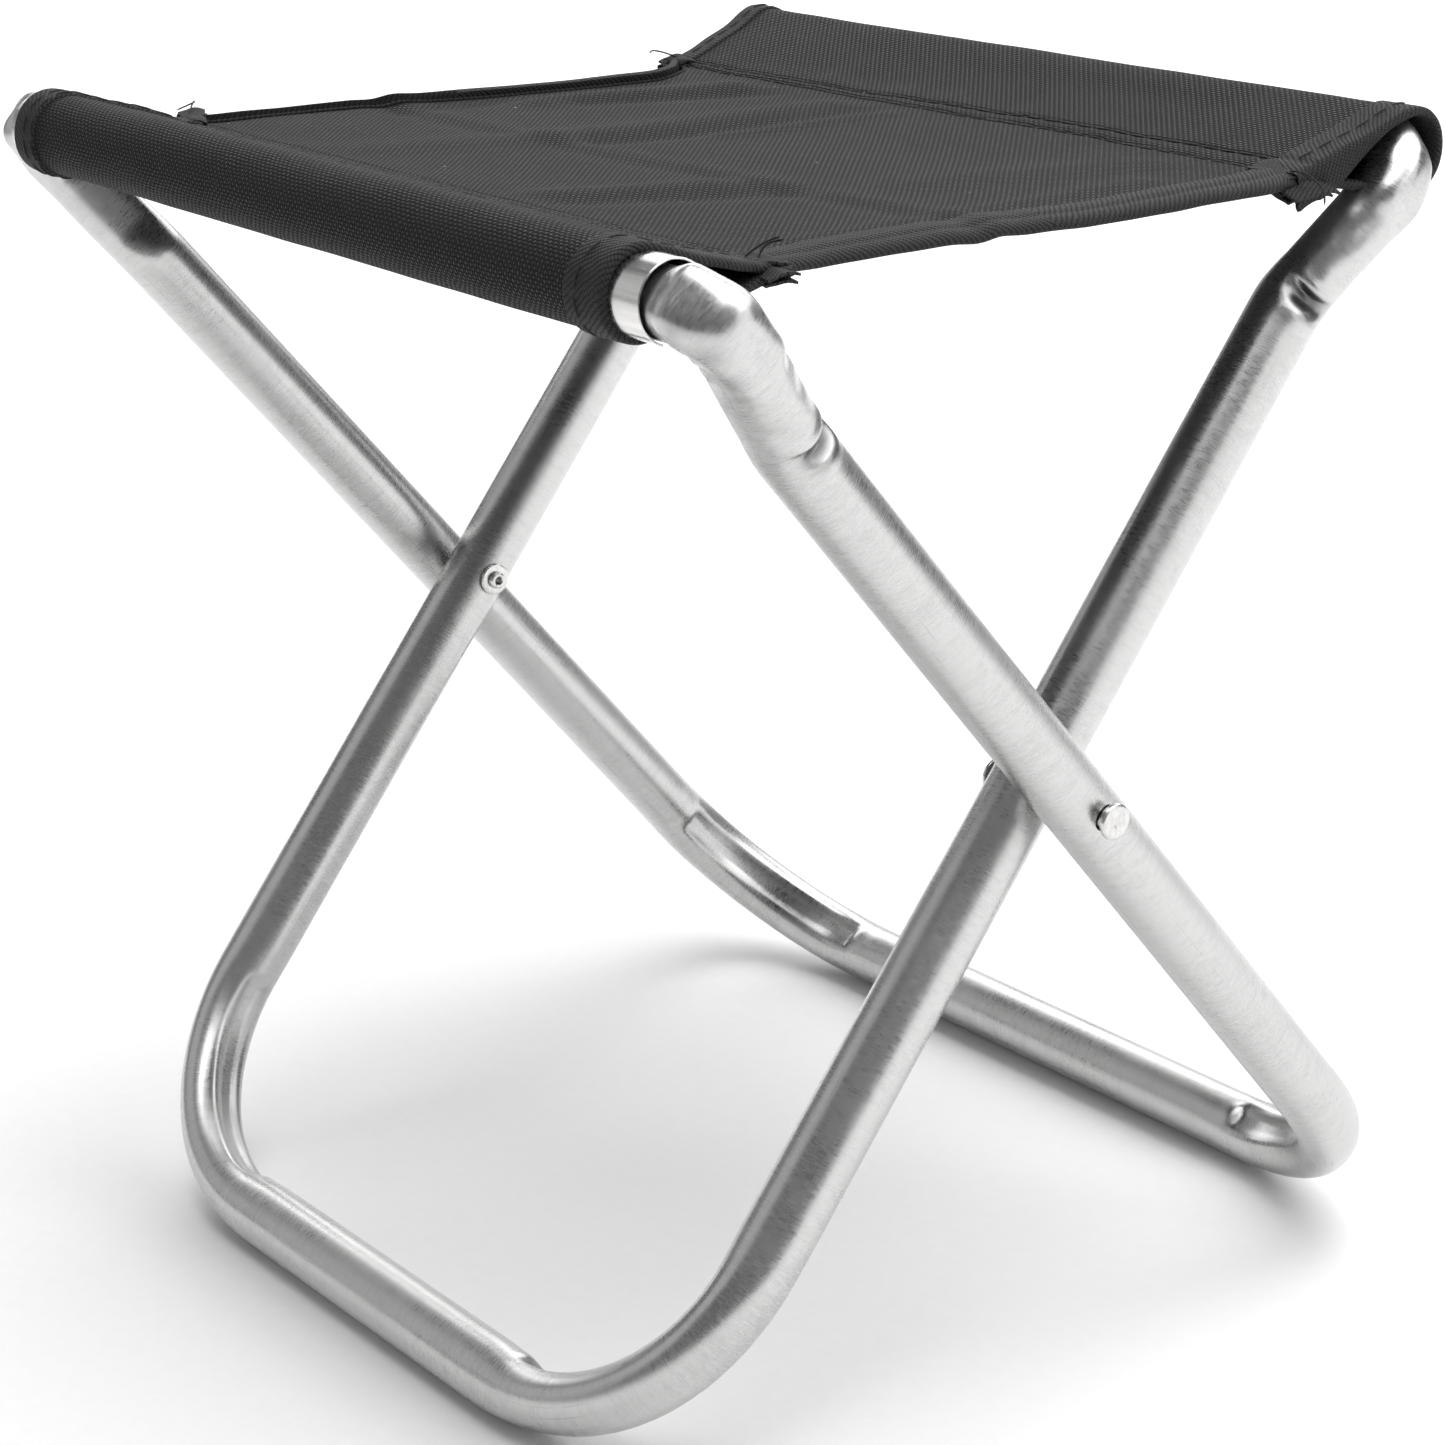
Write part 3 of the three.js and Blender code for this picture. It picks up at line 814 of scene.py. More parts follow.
def ripple(x, y, scale, seed=0.0):
    """A soft, uneven wave between about -1 and 1"""
    a, b = np.asarray(x) / scale, np.asarray(y) / scale
    wave = np.sin(1.7 * a + 0.6 * b + seed) + np.sin(0.9 * a - 1.9 * b + 2.1 * seed + 1)
    wave = wave + np.sin(2.9 * a + 1.3 * b + 3.7 * seed) * 0.6
    return (wave + np.sin(3.3 * b - 0.8 * a + seed) * 0.6) / 3.2


def seam_row(which, x, run):
    """Where a row of stitches runs, as |y|, for the front or rear half"""
    rear = np.asarray(run) > 0
    if which == "outer":
        return np.where(rear, 72.4 + 2.6 * smooth(x, -60, 60), 73.0 + 0.8 * smooth(x, -40, 80))
    dip = 1.2 * bump(x, 45, 30) + 0.3 * bump(x, -90, 30)
    return np.where(rear, 69.1 + dip, 67.6 + 1.0 * smooth(x, -60, 60))


def relief(x, run):
    """How far the cloth stands off its drawn line: folds, seams pulled in and puckers"""
    x, run = np.broadcast_arrays(np.asarray(x, float), np.asarray(run, float))
    reach = np.abs(run)
    panel = 1 - smooth(reach, 56, 67)
    height = np.zeros(x.shape)
    for x0, y0, x1, y1, width, tall in FOLDS:
        way = np.array([x1 - x0, y1 - y0], float)
        length = np.hypot(*way)
        along = ((x - x0) * way[0] + (run - y0) * way[1]) / length ** 2
        near = np.clip(along, 0, 1)
        gap = np.hypot(x - x0 - near * way[0], run - y0 - near * way[1])
        height += FOLD_SCALE * tall * bump(gap, 0, width) * panel
    crease = run - CROSS_CREASE - 2.5 * np.sin(x / 47)
    height += (0.5 * bump(crease, 2.5, 4.5) - 0.5 * bump(crease, -2, 4)) * panel
    height -= 1.3 * (1 - (run / 70) ** 2).clip(0, 1) * (1 - (x / 112) ** 2).clip(0, 1)
    height += 0.35 * ripple(x, run, 19) * panel

    # The seam: two grooves, with a soft welt between and puckers running out from them
    outer, inner = seam_row("outer", x, run), seam_row("inner", x, run)
    on_top = 1 - smooth(reach, 96, 104)
    for row in (outer, inner):
        height -= 0.42 * bump(reach, row, 0.85) * on_top
    height += 0.22 * bump(reach, (outer + inner) / 2, 1.6) * on_top
    pucker = np.sin(2 * np.pi * x / STITCH_PITCH) * (0.6 + 0.4 * ripple(x, 0, 13, 2))
    height += 0.10 * pucker * bump(reach, (outer + inner) / 2, 4.5) * on_top
    height += 0.30 * ripple(x, 0, 6.5, 1) * bump(reach, 78, 9) * on_top
    height += 0.22 * ripple(x, 0, 8, 4) * bump(reach, 64, 6)

    # The pocket hangs a little slack between the seam and the rail
    pocket = within(reach, 73, 82, 92, 102)
    height += (0.45 * ripple(x, run, 24, 5) - 0.35) * pocket
    leave, knee = MARKS["leave"], MARKS["knee"]
    wrap = within(reach, 100, 106, leave - 6, leave)
    height += 0.12 * ripple(x, run, 12, 3) * wrap
    mouth = smooth(x, 96, 110) + smooth(-x, 96, 110)
    height += 0.4 * ripple(run, x * 0.4, 6.5, 8) * mouth * smooth(reach, 72, 80)
    under = within(reach, leave, leave + 8, knee - 8, knee)
    height += 0.3 * ripple(x, run, 20, 6) * under
    return height


def on_cloth(x, run, h=0.0):
    """A point h outwards from the cloth's outer face, at a signed distance along it"""
    x, run, h = np.broadcast_arrays(np.asarray(x, float), np.asarray(run, float), np.asarray(h, float))
    reach = np.abs(run)
    v = np.interp(reach, LINE_T, LINE_POINTS[:, 0])
    z = np.interp(reach, LINE_T, LINE_POINTS[:, 1])
    way_v = np.interp(reach, LINE_T, LINE_WAY[:, 0])
    way_z = np.interp(reach, LINE_T, LINE_WAY[:, 1])
    out = h + relief(x, run)
    on_rail = within(reach, 62, 98, MARKS["leave"] + 6, MARKS["knee"])
    z = z + np.where(run < 0, racked(OUTER, x), racked(INNER, x)) * on_rail
    return np.stack([x, np.where(run < 0, -1, 1) * (v - way_z * out), z + way_v * out], -1)


def stations(low, high, step, dense=()):
    """Distances from low to high about a step apart, closer together at the dense places"""
    marks = [low]
    while marks[-1] < high - step * 0.4:
        here = marks[-1]
        close = min([abs(here - place) for place in dense] + [1e9])
        marks.append(here + (step if close > 3.5 else min(step, 0.3)))
    marks[-1] = high
    return np.array(marks)


# ---- the seat's pieces ----

HALVES = [
    {"name": "front", "sign": -1, "spec": OUTER, "joint": "outer_fold"},
    {"name": "rear", "sign": 1, "spec": INNER, "joint": "inner_fold"},
]
SIDES = {-1: "left", 1: "right"}


def turned(point, sign, angle):
    """A (y, z) point turned about the pivot as its frame folds"""
    y, z = point[0], point[1] - PIVOT_Z
    c, s = math.cos(angle), math.sin(angle)
    return np.array([y * c - sign * z * s, sign * y * s + z * c + PIVOT_Z])


def squashed(point, anchor, way, keep):
    return point - (1 - keep) * ((point - anchor) @ way) * way


def fold_plan(sign):
    """How one half of the seat hangs when folded: where each part is held, and the way it flattens"""
    touch = np.array([sign * TOUCH_V, TOUCH_Z])
    middle = np.array([0.0, PANEL_Z])

    def hangs(angle):
        way = heading(angle)
        return turned(squashed(middle, touch, way, KEEP), sign, FOLD_ANGLE)[0] * sign

    low, high = (math.radians(a) for a in HANG_ANGLES[sign])
    tries = np.linspace(low, high, 900)
    misses = [abs(hangs(a) - HANG_GAP) for a in tries]
    angle = tries[int(np.argmin(misses))]
    way = heading(angle)
    leave = LEAVE_POINT * [sign, 1]
    knee = np.array([sign * UNDER_KNEE, np.interp(MARKS["knee"], LINE_T, LINE_POINTS[:, 1])])
    top_line = LINE_POINTS[:ON_TOP]
    above = np.array([sign * UNDER_KNEE, np.interp(UNDER_KNEE, top_line[:, 0], top_line[:, 1])])
    landed = squashed(above, touch, way, KEEP)
    off = landed - touch
    off = np.array([-off[1], off[0]]) / np.linalg.norm(off)
    if off @ (leave - touch) < 0:
        off = -off
    move = landed + off * 0.9 - knee
    under_way = move / np.linalg.norm(move)
    under_keep = 1 - np.linalg.norm(move) / abs((knee - leave) @ under_way)
    return {"top": (touch, way, KEEP), "under": (leave, under_way, max(0.03, under_keep))}


PLANS = {half["name"]: fold_plan(half["sign"]) for half in HALVES}


def attach(piece, half, part, kind, *nodes):
    """Rides on the half's frame, stands for its CAD nodes and takes its finish; how it would flatten as it
    folds is listed
    """
    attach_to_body(piece, f"{half['spec']['name']}_frame")
    if nodes:
        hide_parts(*nodes)
    PIECES[kind].append(piece)
    if part != "wrap":
        anchor, way, keep = PLANS[half["name"]][part]
        SQUASHES.append((piece, half["joint"], way, anchor, keep))


def side_rim(side, run):
    at, values = RIGHT_RIM if side > 0 else LEFT_RIM
    return np.interp(run, at, values)


def cloth_part(half, part, low, high, step_t, dense, nodes):
    """One closed piece of the seat's cloth between two distances along it"""
    sign = half["sign"]
    t = stations(low, high, step_t, dense)
    run = sign * np.maximum(t, 1e-6)
    inset = CLOTH_INSET + BINDING_INSET * (1 - smooth(t, 66, 71))
    left, right = side_rim(-1, run) + inset, side_rim(1, run) - inset
    u = np.linspace(0, 1, CLOTH_COLUMNS)
    x = left[:, None] + (right - left)[:, None] * u[None, :]
    outer = on_cloth(x, run[:, None])
    inner = on_cloth(x, run[:, None], -CLOTH)
    uv = np.stack([x, np.broadcast_to(run[:, None], x.shape)], -1)
    name = f"seat_{half['name']}_{part}"
    piece = slab(name, outer, inner, uv)
    attach(piece, half, part, "cloth", *nodes)


def swept(half, side, t, section, name, part, kind, node):
    """A binding along the cloth's side rim; section(t) gives (from the rim, off the face) points"""
    run = half["sign"] * np.maximum(t, 1e-6)
    rim = side_rim(side, run)
    lines = section(t)
    x = rim[:, None] + side * lines[..., 0]
    h = lines[..., 1]
    grad = np.gradient(lines, axis=1)
    grad /= np.maximum(np.linalg.norm(grad, axis=2, keepdims=True), 1e-9)
    turn = np.stack([grad[..., 1], -grad[..., 0]], -1)
    outer = on_cloth(x, run[:, None], h)
    inner = on_cloth(x + side * TAPE * turn[..., 0], run[:, None], h + TAPE * turn[..., 1])
    around = distances(lines[0])
    attach(slab(name, outer, inner, pairs(t, around), 60), half, part, kind, node)


# Side bindings: the tape's line over the rim and under, as (from the rim, off the face) points
NEAR_EDGE = smooth_line([
    (-11, 0.15), (-10.6, 0.7), (-8, 0.85), (-6.0, 0.8), (-5.0, 0.45), (-4.3, 0.1), (-3.4, 0.2),
    (-2.0, 0.0), (-0.5, -0.8), (0, -1.8), (-0.8, -2.8), (-2.6, -2.6), (-6, -1.7), (-10, -1.5),
], EDGE_POINTS, 2)
FAR_FRONT_EDGE = smooth_line([
    (-6.2, 0.15), (-5.9, 0.5), (-5.0, 0.5), (-4.0, 0.25), (-3.1, -0.5), (-2.4, -0.5), (-1.7, 0.2),
    (-1.2, 1.0), (-0.6, 1.3), (-0.1, 1.0), (0, 0.1), (-0.6, -0.9), (-2.2, -1.5), (-6, -1.4),
], EDGE_POINTS, 2)
FAR_REAR_EDGE = smooth_line([
    (-6.8, 0.15), (-6.5, 0.45), (-5.6, 0.3), (-5.0, -0.9), (-4.4, -1.1), (-4.0, 0.3), (-3.6, 1.2),
    (-2.4, 1.5), (-0.9, 1.4), (0, 0.6), (-0.5, -0.6), (-2.2, -1.6), (-5, -1.5), (-6.6, -1.4),
], EDGE_POINTS, 2)


def edge_section(half, side):
    def lines(t):
        run = half["sign"] * t
        if side > 0:
            full = np.broadcast_to(NEAR_EDGE, (len(t),) + NEAR_EDGE.shape).copy()
            full[..., 1] += 0.16 * ripple(run, 0, 6, 2)[:, None] * smooth(-NEAR_EDGE[:, 0], 9, 2)[None, :]
        else:
            share = smooth(run, -26, 10)[:, None, None]
            full = FAR_FRONT_EDGE * (1 - share) + FAR_REAR_EDGE * share
            full[..., 1] *= (1 + 0.1 * ripple(run, 0, 9, 7))[:, None]
        return full
    return lines


def mouth_section(width, thick, lip=0.0):
    return smooth_line([
        (-width, 0.1), (-width + 0.1, thick), (-width + 1, thick + 0.05), (-1.4, thick + 0.1), (-0.2, thick),
        (0.25, -0.1), (0.3, -0.8 - 0.5 * lip), (0.2, -1.2 - lip), (-0.6, -1.2 - lip),
        (-0.9, -1.5 - 0.3 * lip), (-2.0, -1.5), (-width + 2, -1.45),
    ], MOUTH_POINTS, 2)


def mouth_lines(half, side):
    """The mouth binding's section along it; a deep lip hangs at one corner"""
    width, thick = MOUTHS[(half["name"], side)]
    deep = DEEP_LIP if (half["name"], side) == ("rear", 1) else 0.0

    def lines(t):
        return np.array([mouth_section(width, thick, deep * (1 - smooth(at, 76, 98))) for at in t])
    return lines


def thread_line(points, radius=THREAD_RADIUS, sides=6):
    """A thread through points, as a closed tube with pointed ends"""
    points = np.asarray(points, float)
    way = ways(points)
    up = np.cross(way, np.cross([0.3, 0.2, 0.93], way))
    up /= np.linalg.norm(up, axis=1)[:, None]
    across = np.cross(way, up)
    angle = 2 * np.pi * np.arange(sides) / sides
    taper = np.ones(len(points))
    taper[[0, -1]] = 0.35
    ring = np.cos(angle)[None, :, None] * up[:, None] + np.sin(angle)[None, :, None] * across[:, None]
    surface = points[:, None] + ring * (radius * taper)[:, None, None]
    quads, places = grid(len(points), sides, wrap=True)
    length = distances(points)
    uv = np.stack([length[places[..., 0]], places[..., 1] * radius], -1).reshape(-1, 2)
    faces = quads.tolist()
    for row in (0, len(points) - 1):
        faces.append((row * sides + np.arange(sides)).tolist())
    return surface.reshape(-1, 3), faces, np.vstack([uv, np.zeros((2 * sides, 2))])


def mesh_of(name, parts):
    """One mesh from several closed parts whose faces may have different numbers of corners"""
    points, faces, uvs, base = [], [], [], 0
    for part_points, part_faces, part_uv in parts:
        points.append(part_points)
        faces += [[corner + base for corner in face] for face in part_faces]
        uvs.append(part_uv)
        base += len(part_points)
    return make_mesh(name, np.vstack(points), faces, np.vstack(uvs), 60)


def stitches(path, low, high, start=0.0):
    """Separate stitches along a path; path(distance, height) gives points just off the cloth"""
    found = []
    at = low + start
    while at + STITCH_LENGTH < high:
        share = np.linspace(0, 1, 7)
        height = STITCH_HEIGHT * np.sin(np.pi * share) ** 0.5 - 0.1
        found.append(thread_line(path(at + share * STITCH_LENGTH, height)))
        at += STITCH_PITCH
    return found


def row_to_run(row_v, sign):
    """The distance along the cloth at which |y| is a row's"""
    return sign * np.interp(row_v, LINE_POINTS[:ON_TOP, 0], LINE_T[:ON_TOP])


def make_cloth(half):
    name = half["name"]
    pocket = f"{name}_pocket"
    cloth_part(half, "top", 0, MARKS["touch"], 1.6, STITCH_ROWS, ["seat_panel"])
    cloth_part(half, "wrap", MARKS["touch"], MARKS["leave"], 0.9, (), [pocket])
    cloth_part(half, "under", MARKS["leave"], MARKS["end"], 1.6, (), [pocket])


def make_side_binding(half, side, label):
    """The far ones get the tape with painted shade: all of the front one, and the strip of the rear one that
    faces the seat
    """
    t = stations(0, PANEL_BINDING_END, 1.2)
    name, node = f"{label}_edge_{half['name']}", f"{label}_edge_tape"
    section = edge_section(half, side)
    if side > 0 or half["sign"] < 0:
        swept(half, side, t, section, name, "top", "tape" if side > 0 else "painted_shade_tape", node)
        return

    def inner(t):
        return section(t)[:, :FAR_SHADED]

    def outer(t):
        return section(t)[:, FAR_SHADED - 1:]
    swept(half, side, t, inner, f"{name}_inner", "top", "painted_shade_tape", node)
    swept(half, side, t, outer, name, "top", "tape", node)


def make_mouth(half, side, label):
    """A pocket mouth's binding and its hem stitches, each in three parts along the cloth"""
    name, sign = half["name"], half["sign"]
    touch, leave = MARKS["touch"], MARKS["leave"]
    parts = {"top": (MOUTH_FROM, touch), "wrap": (touch, leave), "under": (leave, MARKS["end"])}
    section = mouth_lines(half, side)
    for part, (low, high) in parts.items():
        piece_name = f"{name}_{label}_mouth_{part}"
        node = f"{name}_pocket_{label}_tape"
        swept(half, side, stations(low, high, 1.0), section, piece_name, part, "tape", node)
    for part, (low, high) in parts.items():
        found = []
        for back in MOUTH_STITCHES[(name, side)]:
            def along(t, height, back=back):
                run = sign * t
                return on_cloth(side_rim(side, run) - side * back, run, height + HEM_HEIGHT)
            found += stitches(along, low + (7 if part == "top" else 0.4), high - 0.2)
        attach(mesh_of(f"{name}_{label}_hem_stitches_{part}", found), half, part, "thread")


def make_seams(half):
    """Two rows of stitches on top and their other side below"""
    name, sign = half["name"], half["sign"]
    middle, far = sign * SEAM_MIDDLE, sign * 160
    found, below = [], []
    for which, start, back in (("outer", 0.0, 73.2), ("inner", 2.3, 68.6)):
        def seam(x, height, which=which):
            run = row_to_run(seam_row(which, x, np.full(np.shape(x), float(sign))), sign)
            return on_cloth(x, run, height)

        def under_seam(x, height, back=back):
            run = sign * (MARKS["knee"] + (UNDER_KNEE - back) * 0.98)
            return on_cloth(x, np.full(np.shape(x), run), height)
        found += stitches(seam, side_rim(-1, middle) + 1.5, side_rim(1, middle) - 1.0, start)
        below += stitches(under_seam, side_rim(-1, far) + 2.5, side_rim(1, far) - 2.5)
    attach(mesh_of(f"{name}_seam_stitches", found + loose_threads(half)), half, "top", "thread")
    attach(mesh_of(f"{name}_seam_stitches_below", below), half, "under", "thread")


def loose_threads(half):
    found = []
    for ends in THREAD_ENDS[half["name"]]:
        points = [(x, half["sign"] * v, PANEL_Z + h) for x, v, h in ends]
        found.append(thread_line(smooth_line(points, 18, 3), LOOSE_RADIUS))
    return found


def make_tail(half, side, label):
    line, width = TAILS[(half["name"], side)]
    parts = []
    for layer, (lower, rows) in enumerate(TAIL_LAYERS):
        points = smooth_line([(x, half["sign"] * v, PANEL_Z + h) for x, v, h in line], TAIL_ROWS, 3)[:rows]
        way = ways(points)
        across = np.cross([0, 0, 1.0], way)
        across /= np.linalg.norm(across, axis=1)[:, None]
        up = np.cross(way, across)
        share = np.linspace(-0.5, 0.5, 15)
        grow = smooth(np.linspace(0, 1, len(points)), -0.3, 0.5)[:, None, None]
        swing = 0.5 * np.sin(np.linspace(0, 2.4, len(points)) + layer * 2)[:, None, None]
        reach = share[None, :, None] * width * (0.65 + 0.35 * grow) + swing
        spread_out = points[:, None] + across[:, None] * reach
        down = np.linspace(0, 14, len(points))[:, None] + 5 * layer
        crumple = 0.45 * ripple(down, share[None, :] * width, 2.6, layer)
        crown = (0.5 - 3.0 * share ** 2)[None, :, None] + crumple[..., None]
        face = spread_out + up[:, None] * (crown - lower)
        uv = pairs(np.linspace(0, 22, len(points)), share * width)
        parts.append(slab_data(face, face - up[:, None] * TAIL_LAYER, uv))
    piece = mesh_of(f"{half['name']}_{label}_tail", parts)
    attach(piece, half, "top", "tape", f"{half['name']}_{label}_corner_tail")


# ---- making it all ----

for spec in (OUTER, INNER):
    PIECES["aluminium"].append(make_tube(spec))
    PIECES["sleeve"].append(make_sleeve(spec))
make_rivets()
for half in HALVES:
    make_cloth(half)
    for side, label in SIDES.items():
        make_side_binding(half, side, label)
        make_mouth(half, side, label)
    make_seams(half)
    for side, label in SIDES.items():
        make_tail(half, side, label)


# ---- materials ----

class Shader:
    """Builds the nodes of one material"""

    def __init__(self, name):
        self.material = bpy.data.materials.new(name)
        self.material.use_nodes = True
        self.tree = self.material.node_tree
        self.tree.nodes.clear()
        self.surface = self.tree.nodes.new("ShaderNodeBsdfPrincipled")
        out = self.tree.nodes.new("ShaderNodeOutputMaterial")
        self.tree.links.new(self.surface.outputs[0], out.inputs[0])

    def finish(self, **values):
        """Sets the shader's own sockets, underscores standing for spaces, and returns the material"""
        for name, value in values.items():
            self.put(self.surface, name.replace("_", " "), value)
        return self.material

    def put(self, node, key, value):
        if isinstance(value, bpy.types.NodeSocket):
            self.tree.links.new(value, node.inputs[key])
        else:
            node.inputs[key].default_value = value

    def add(self, kind, inputs=None, output=0, **settings):
        node = self.tree.nodes.new("ShaderNode" + kind)
        for key, value in settings.items():
            setattr(node, key, value)
        for key, value in (inputs or {}).items():
            self.put(node, key, value)
        return node.outputs[output]

    def maths(self, operation, a, b=0.0):
        return self.add("Math", {0: a, 1: b}, operation=operation)

    def times(self, a, b):
        return self.maths("MULTIPLY", a, b)

    def plus(self, a, b):
        return self.maths("ADD", a, b)

    def minus(self, a, b):
        return self.maths("SUBTRACT", a, b)

    def sine(self, a):
        return self.maths("SINE", a)

    def steps(self, value, low, high, to_low=0.0, to_high=1.0):
        """The value from low..high spread smoothly over to_low..to_high"""
        inputs = {0: value, 1: low, 2: high, 3: to_low, 4: to_high}
        return self.add("MapRange", inputs, interpolation_type="SMOOTHSTEP")

    def mixed(self, share, a, b):
        node = self.tree.nodes.new("ShaderNodeMix")
        node.data_type = "RGBA"
        for key, value in ((0, share), (6, a), (7, b)):
            self.put(node, key, value)
        return node.outputs[2]

    def place(self):
        """The surface place in millimetres: a vector, and its two numbers"""
        uv = self.add("UVMap", uv_map="Surface")
        scaled = self.add("VectorMath", {0: uv, "Scale": 1 / MM}, operation="SCALE")
        return (scaled, *self.parts(scaled)[:2])

    def parts(self, vector):
        split = self.tree.nodes.new("ShaderNodeSeparateXYZ")
        self.put(split, 0, vector)
        return list(split.outputs)

    def object_place(self):
        return self.add("TexCoord", output=3)

    def noise(self, vector, scale, detail=2.0, roughness=0.5):
        inputs = {"Vector": vector, "Scale": scale, "Detail": detail, "Roughness": roughness}
        return self.add("TexNoise", inputs)

    def stretched(self, vector, *scale):
        return self.add("VectorMath", {0: vector, 1: scale}, operation="MULTIPLY")

    def bumped(self, height, distance):
        return self.add("Bump", {"Height": height, "Distance": distance, "Strength": 1.0})


def grey(value, warmth=0.0):
    return (value * (1 + warmth), value, value * (1 - warmth), 1)


def woven_cloth():
    """Near-black plain weave with a soft gleam on each yarn crossing, its colour painted darker in the gaps
    between yarns and lighter on their crowns as painted shade and highlight, and a little lint
    """
    m = Shader("black_plain_weave")
    vector, u, v = m.place()
    wander = m.noise(vector, 0.22, 3)
    shift = m.times(m.minus(wander, 0.5), 0.9)
    rate = math.pi / YARN_PITCH
    across = m.sine(m.times(m.plus(u, shift), rate))
    along = m.sine(m.times(m.minus(v, shift), rate))
    cross = m.times(across, along)
    crown = m.maths("POWER", m.maths("ABSOLUTE", cross), 0.5)
    weave = m.plus(crown, m.times(cross, 0.35))
    fibre = m.noise(vector, 6.0, 2)
    patchy = m.noise(vector, 0.035, 3)
    height = m.plus(weave, m.times(fibre, 0.5))
    # Painted shade and highlight: darker in the gaps between yarns, lighter on the crowns; the patchy and
    # fibre noise is the cloth's own uneven tone
    tone = m.steps(weave, 0.2, 1.2, 0.0, 2.1)
    tone = m.times(tone, m.steps(patchy, 0.3, 0.7, 0.85, 1.15))
    tone = m.times(tone, m.steps(fibre, 0.2, 0.8, 0.8, 1.2))
    base = m.mixed(tone, grey(0.003), grey(CLOTH_GREY, -0.01))

    # Lint: a few short pale fibres
    cells = m.tree.nodes.new("ShaderNodeTexVoronoi")
    m.put(cells, "Vector", m.stretched(vector, 1.0, 1.6, 1.0))
    cells.inputs["Scale"].default_value = 0.075
    chance = m.parts(cells.outputs["Color"])[0]
    fleck = m.maths("LESS_THAN", cells.outputs["Distance"], 0.03)
    fleck = m.times(fleck, m.maths("GREATER_THAN", chance, 0.72))
    base = m.mixed(m.times(fleck, 0.7), base, grey(LINT_GREY))
    return m.finish(
        Base_Color=base, Roughness=m.steps(weave, 0.1, 1.2, 1.0, 0.38), Specular_IOR_Level=0.3,
        Normal=m.bumped(height, 0.00048),
    )


def twill_tape(name, tape_grey, shine):
    """Narrow woven binding with slanting ribs, its colour painted darker in the grooves and lighter on the
    ribs as painted shade and highlight
    """
    m = Shader(name)
    vector, u, v = m.place()
    wander = m.times(m.noise(vector, 0.35, 2), 1.2)
    slant = m.plus(m.plus(u, m.times(v, 0.75)), wander)
    rib = m.maths("ABSOLUTE", m.sine(m.times(slant, math.pi / TWILL_PITCH)))
    pick = m.sine(m.times(m.minus(u, m.times(v, 0.9)), math.pi / PICK_PITCH))
    weave = m.plus(m.maths("POWER", rib, 0.7), m.times(pick, 0.22))
    fibre = m.noise(vector, 5.0, 3)
    height = m.plus(weave, m.times(fibre, 0.5))
    # Painted shade and highlight: darker in the grooves between ribs, lighter on the ribs; the fibre noise
    # is the tape's own uneven tone
    tone = m.times(m.steps(weave, 0.0, 1.2, 0.35, 1.15), m.steps(fibre, 0.2, 0.8, 0.75, 1.25))
    base = m.mixed(tone, grey(0.25 * tape_grey), grey(tape_grey))
    return m.finish(
        Base_Color=base, Roughness=m.steps(weave, 0.1, 1.2, 0.85, 0.6), Specular_IOR_Level=shine,
        Normal=m.bumped(height, 0.0003),
    )


def sewing_thread():
    m = Shader("black_sewing_thread")
    vector, u, v = m.place()
    twist = m.sine(m.times(m.plus(u, v), 2 * math.pi / TWIST_PITCH))
    fibre = m.noise(vector, 7.0, 2)
    base = m.mixed(m.steps(fibre, 0.2, 0.8), grey(0.008), grey(0.02))
    return m.finish(
        Base_Color=base, Roughness=m.steps(fibre, 0.2, 0.8, 0.5, 0.75), Specular_IOR_Level=0.35,
        Normal=m.bumped(m.plus(twist, fibre), 0.00005),
    )


def drawn_aluminium():
    """Satin drawn tube: fine rings round it, broken lines along it, a few rubbed patches, and painted shade
    in its grooves, notches and corner creases
    """
    m = Shader("satin_aluminium")
    vector = m.place()[0]
    rings = m.noise(m.stretched(vector, 3.0, 0.35, 1.0), 1.0, 3, 0.6)
    coarse = m.noise(m.stretched(vector, 0.5, 0.05, 1.0), 1.0, 3, 0.6)
    lines = m.noise(m.stretched(vector, 0.02, 1.1, 1.0), 1.0, 3, 0.6)
    dashes = m.noise(m.stretched(vector, 3.2, 1.2, 1.0), 1.0, 2, 0.6)
    painted_shade = m.add("Attribute", attribute_name="PaintedShade", output=2)
    dull = m.noise(m.object_place(), 30.0, 3, 0.6)
    drawn = m.steps(lines, 0.62, 0.7)
    flecks = m.times(m.steps(dashes, 0.58, 0.68), m.steps(coarse, 0.45, 0.6))
    tone = m.times(m.steps(rings, 0.3, 0.7, 0.9, 1.05), m.steps(coarse, 0.3, 0.7, 0.95, 1.04))
    tone = m.times(tone, m.steps(dull, 0.3, 0.7, 0.96, 1.03))
    base = m.mixed(tone, grey(0.0), grey(METAL_GREY, 0.004))
    marks = m.plus(m.times(drawn, 0.28), m.times(flecks, 0.03))
    base = m.mixed(marks, base, grey(0.25))
    # Painted shade: the colour darkens towards a near-black grey in the grooves, notches and creases
    base = m.mixed(m.times(painted_shade, m.steps(rings, 0.2, 0.8, 0.8, 1.0)), base, grey(PAINTED_SHADE_GREY))
    rough = m.plus(m.steps(dull, 0.3, 0.7, -0.03, 0.05), m.steps(rings, 0.25, 0.75, 0.24, 0.36))
    height = m.plus(m.times(rings, 0.8), m.times(coarse, 0.9))
    height = m.minus(height, marks)
    return m.finish(Base_Color=base, Metallic=1.0, Roughness=rough, Normal=m.bumped(height, 0.000018))


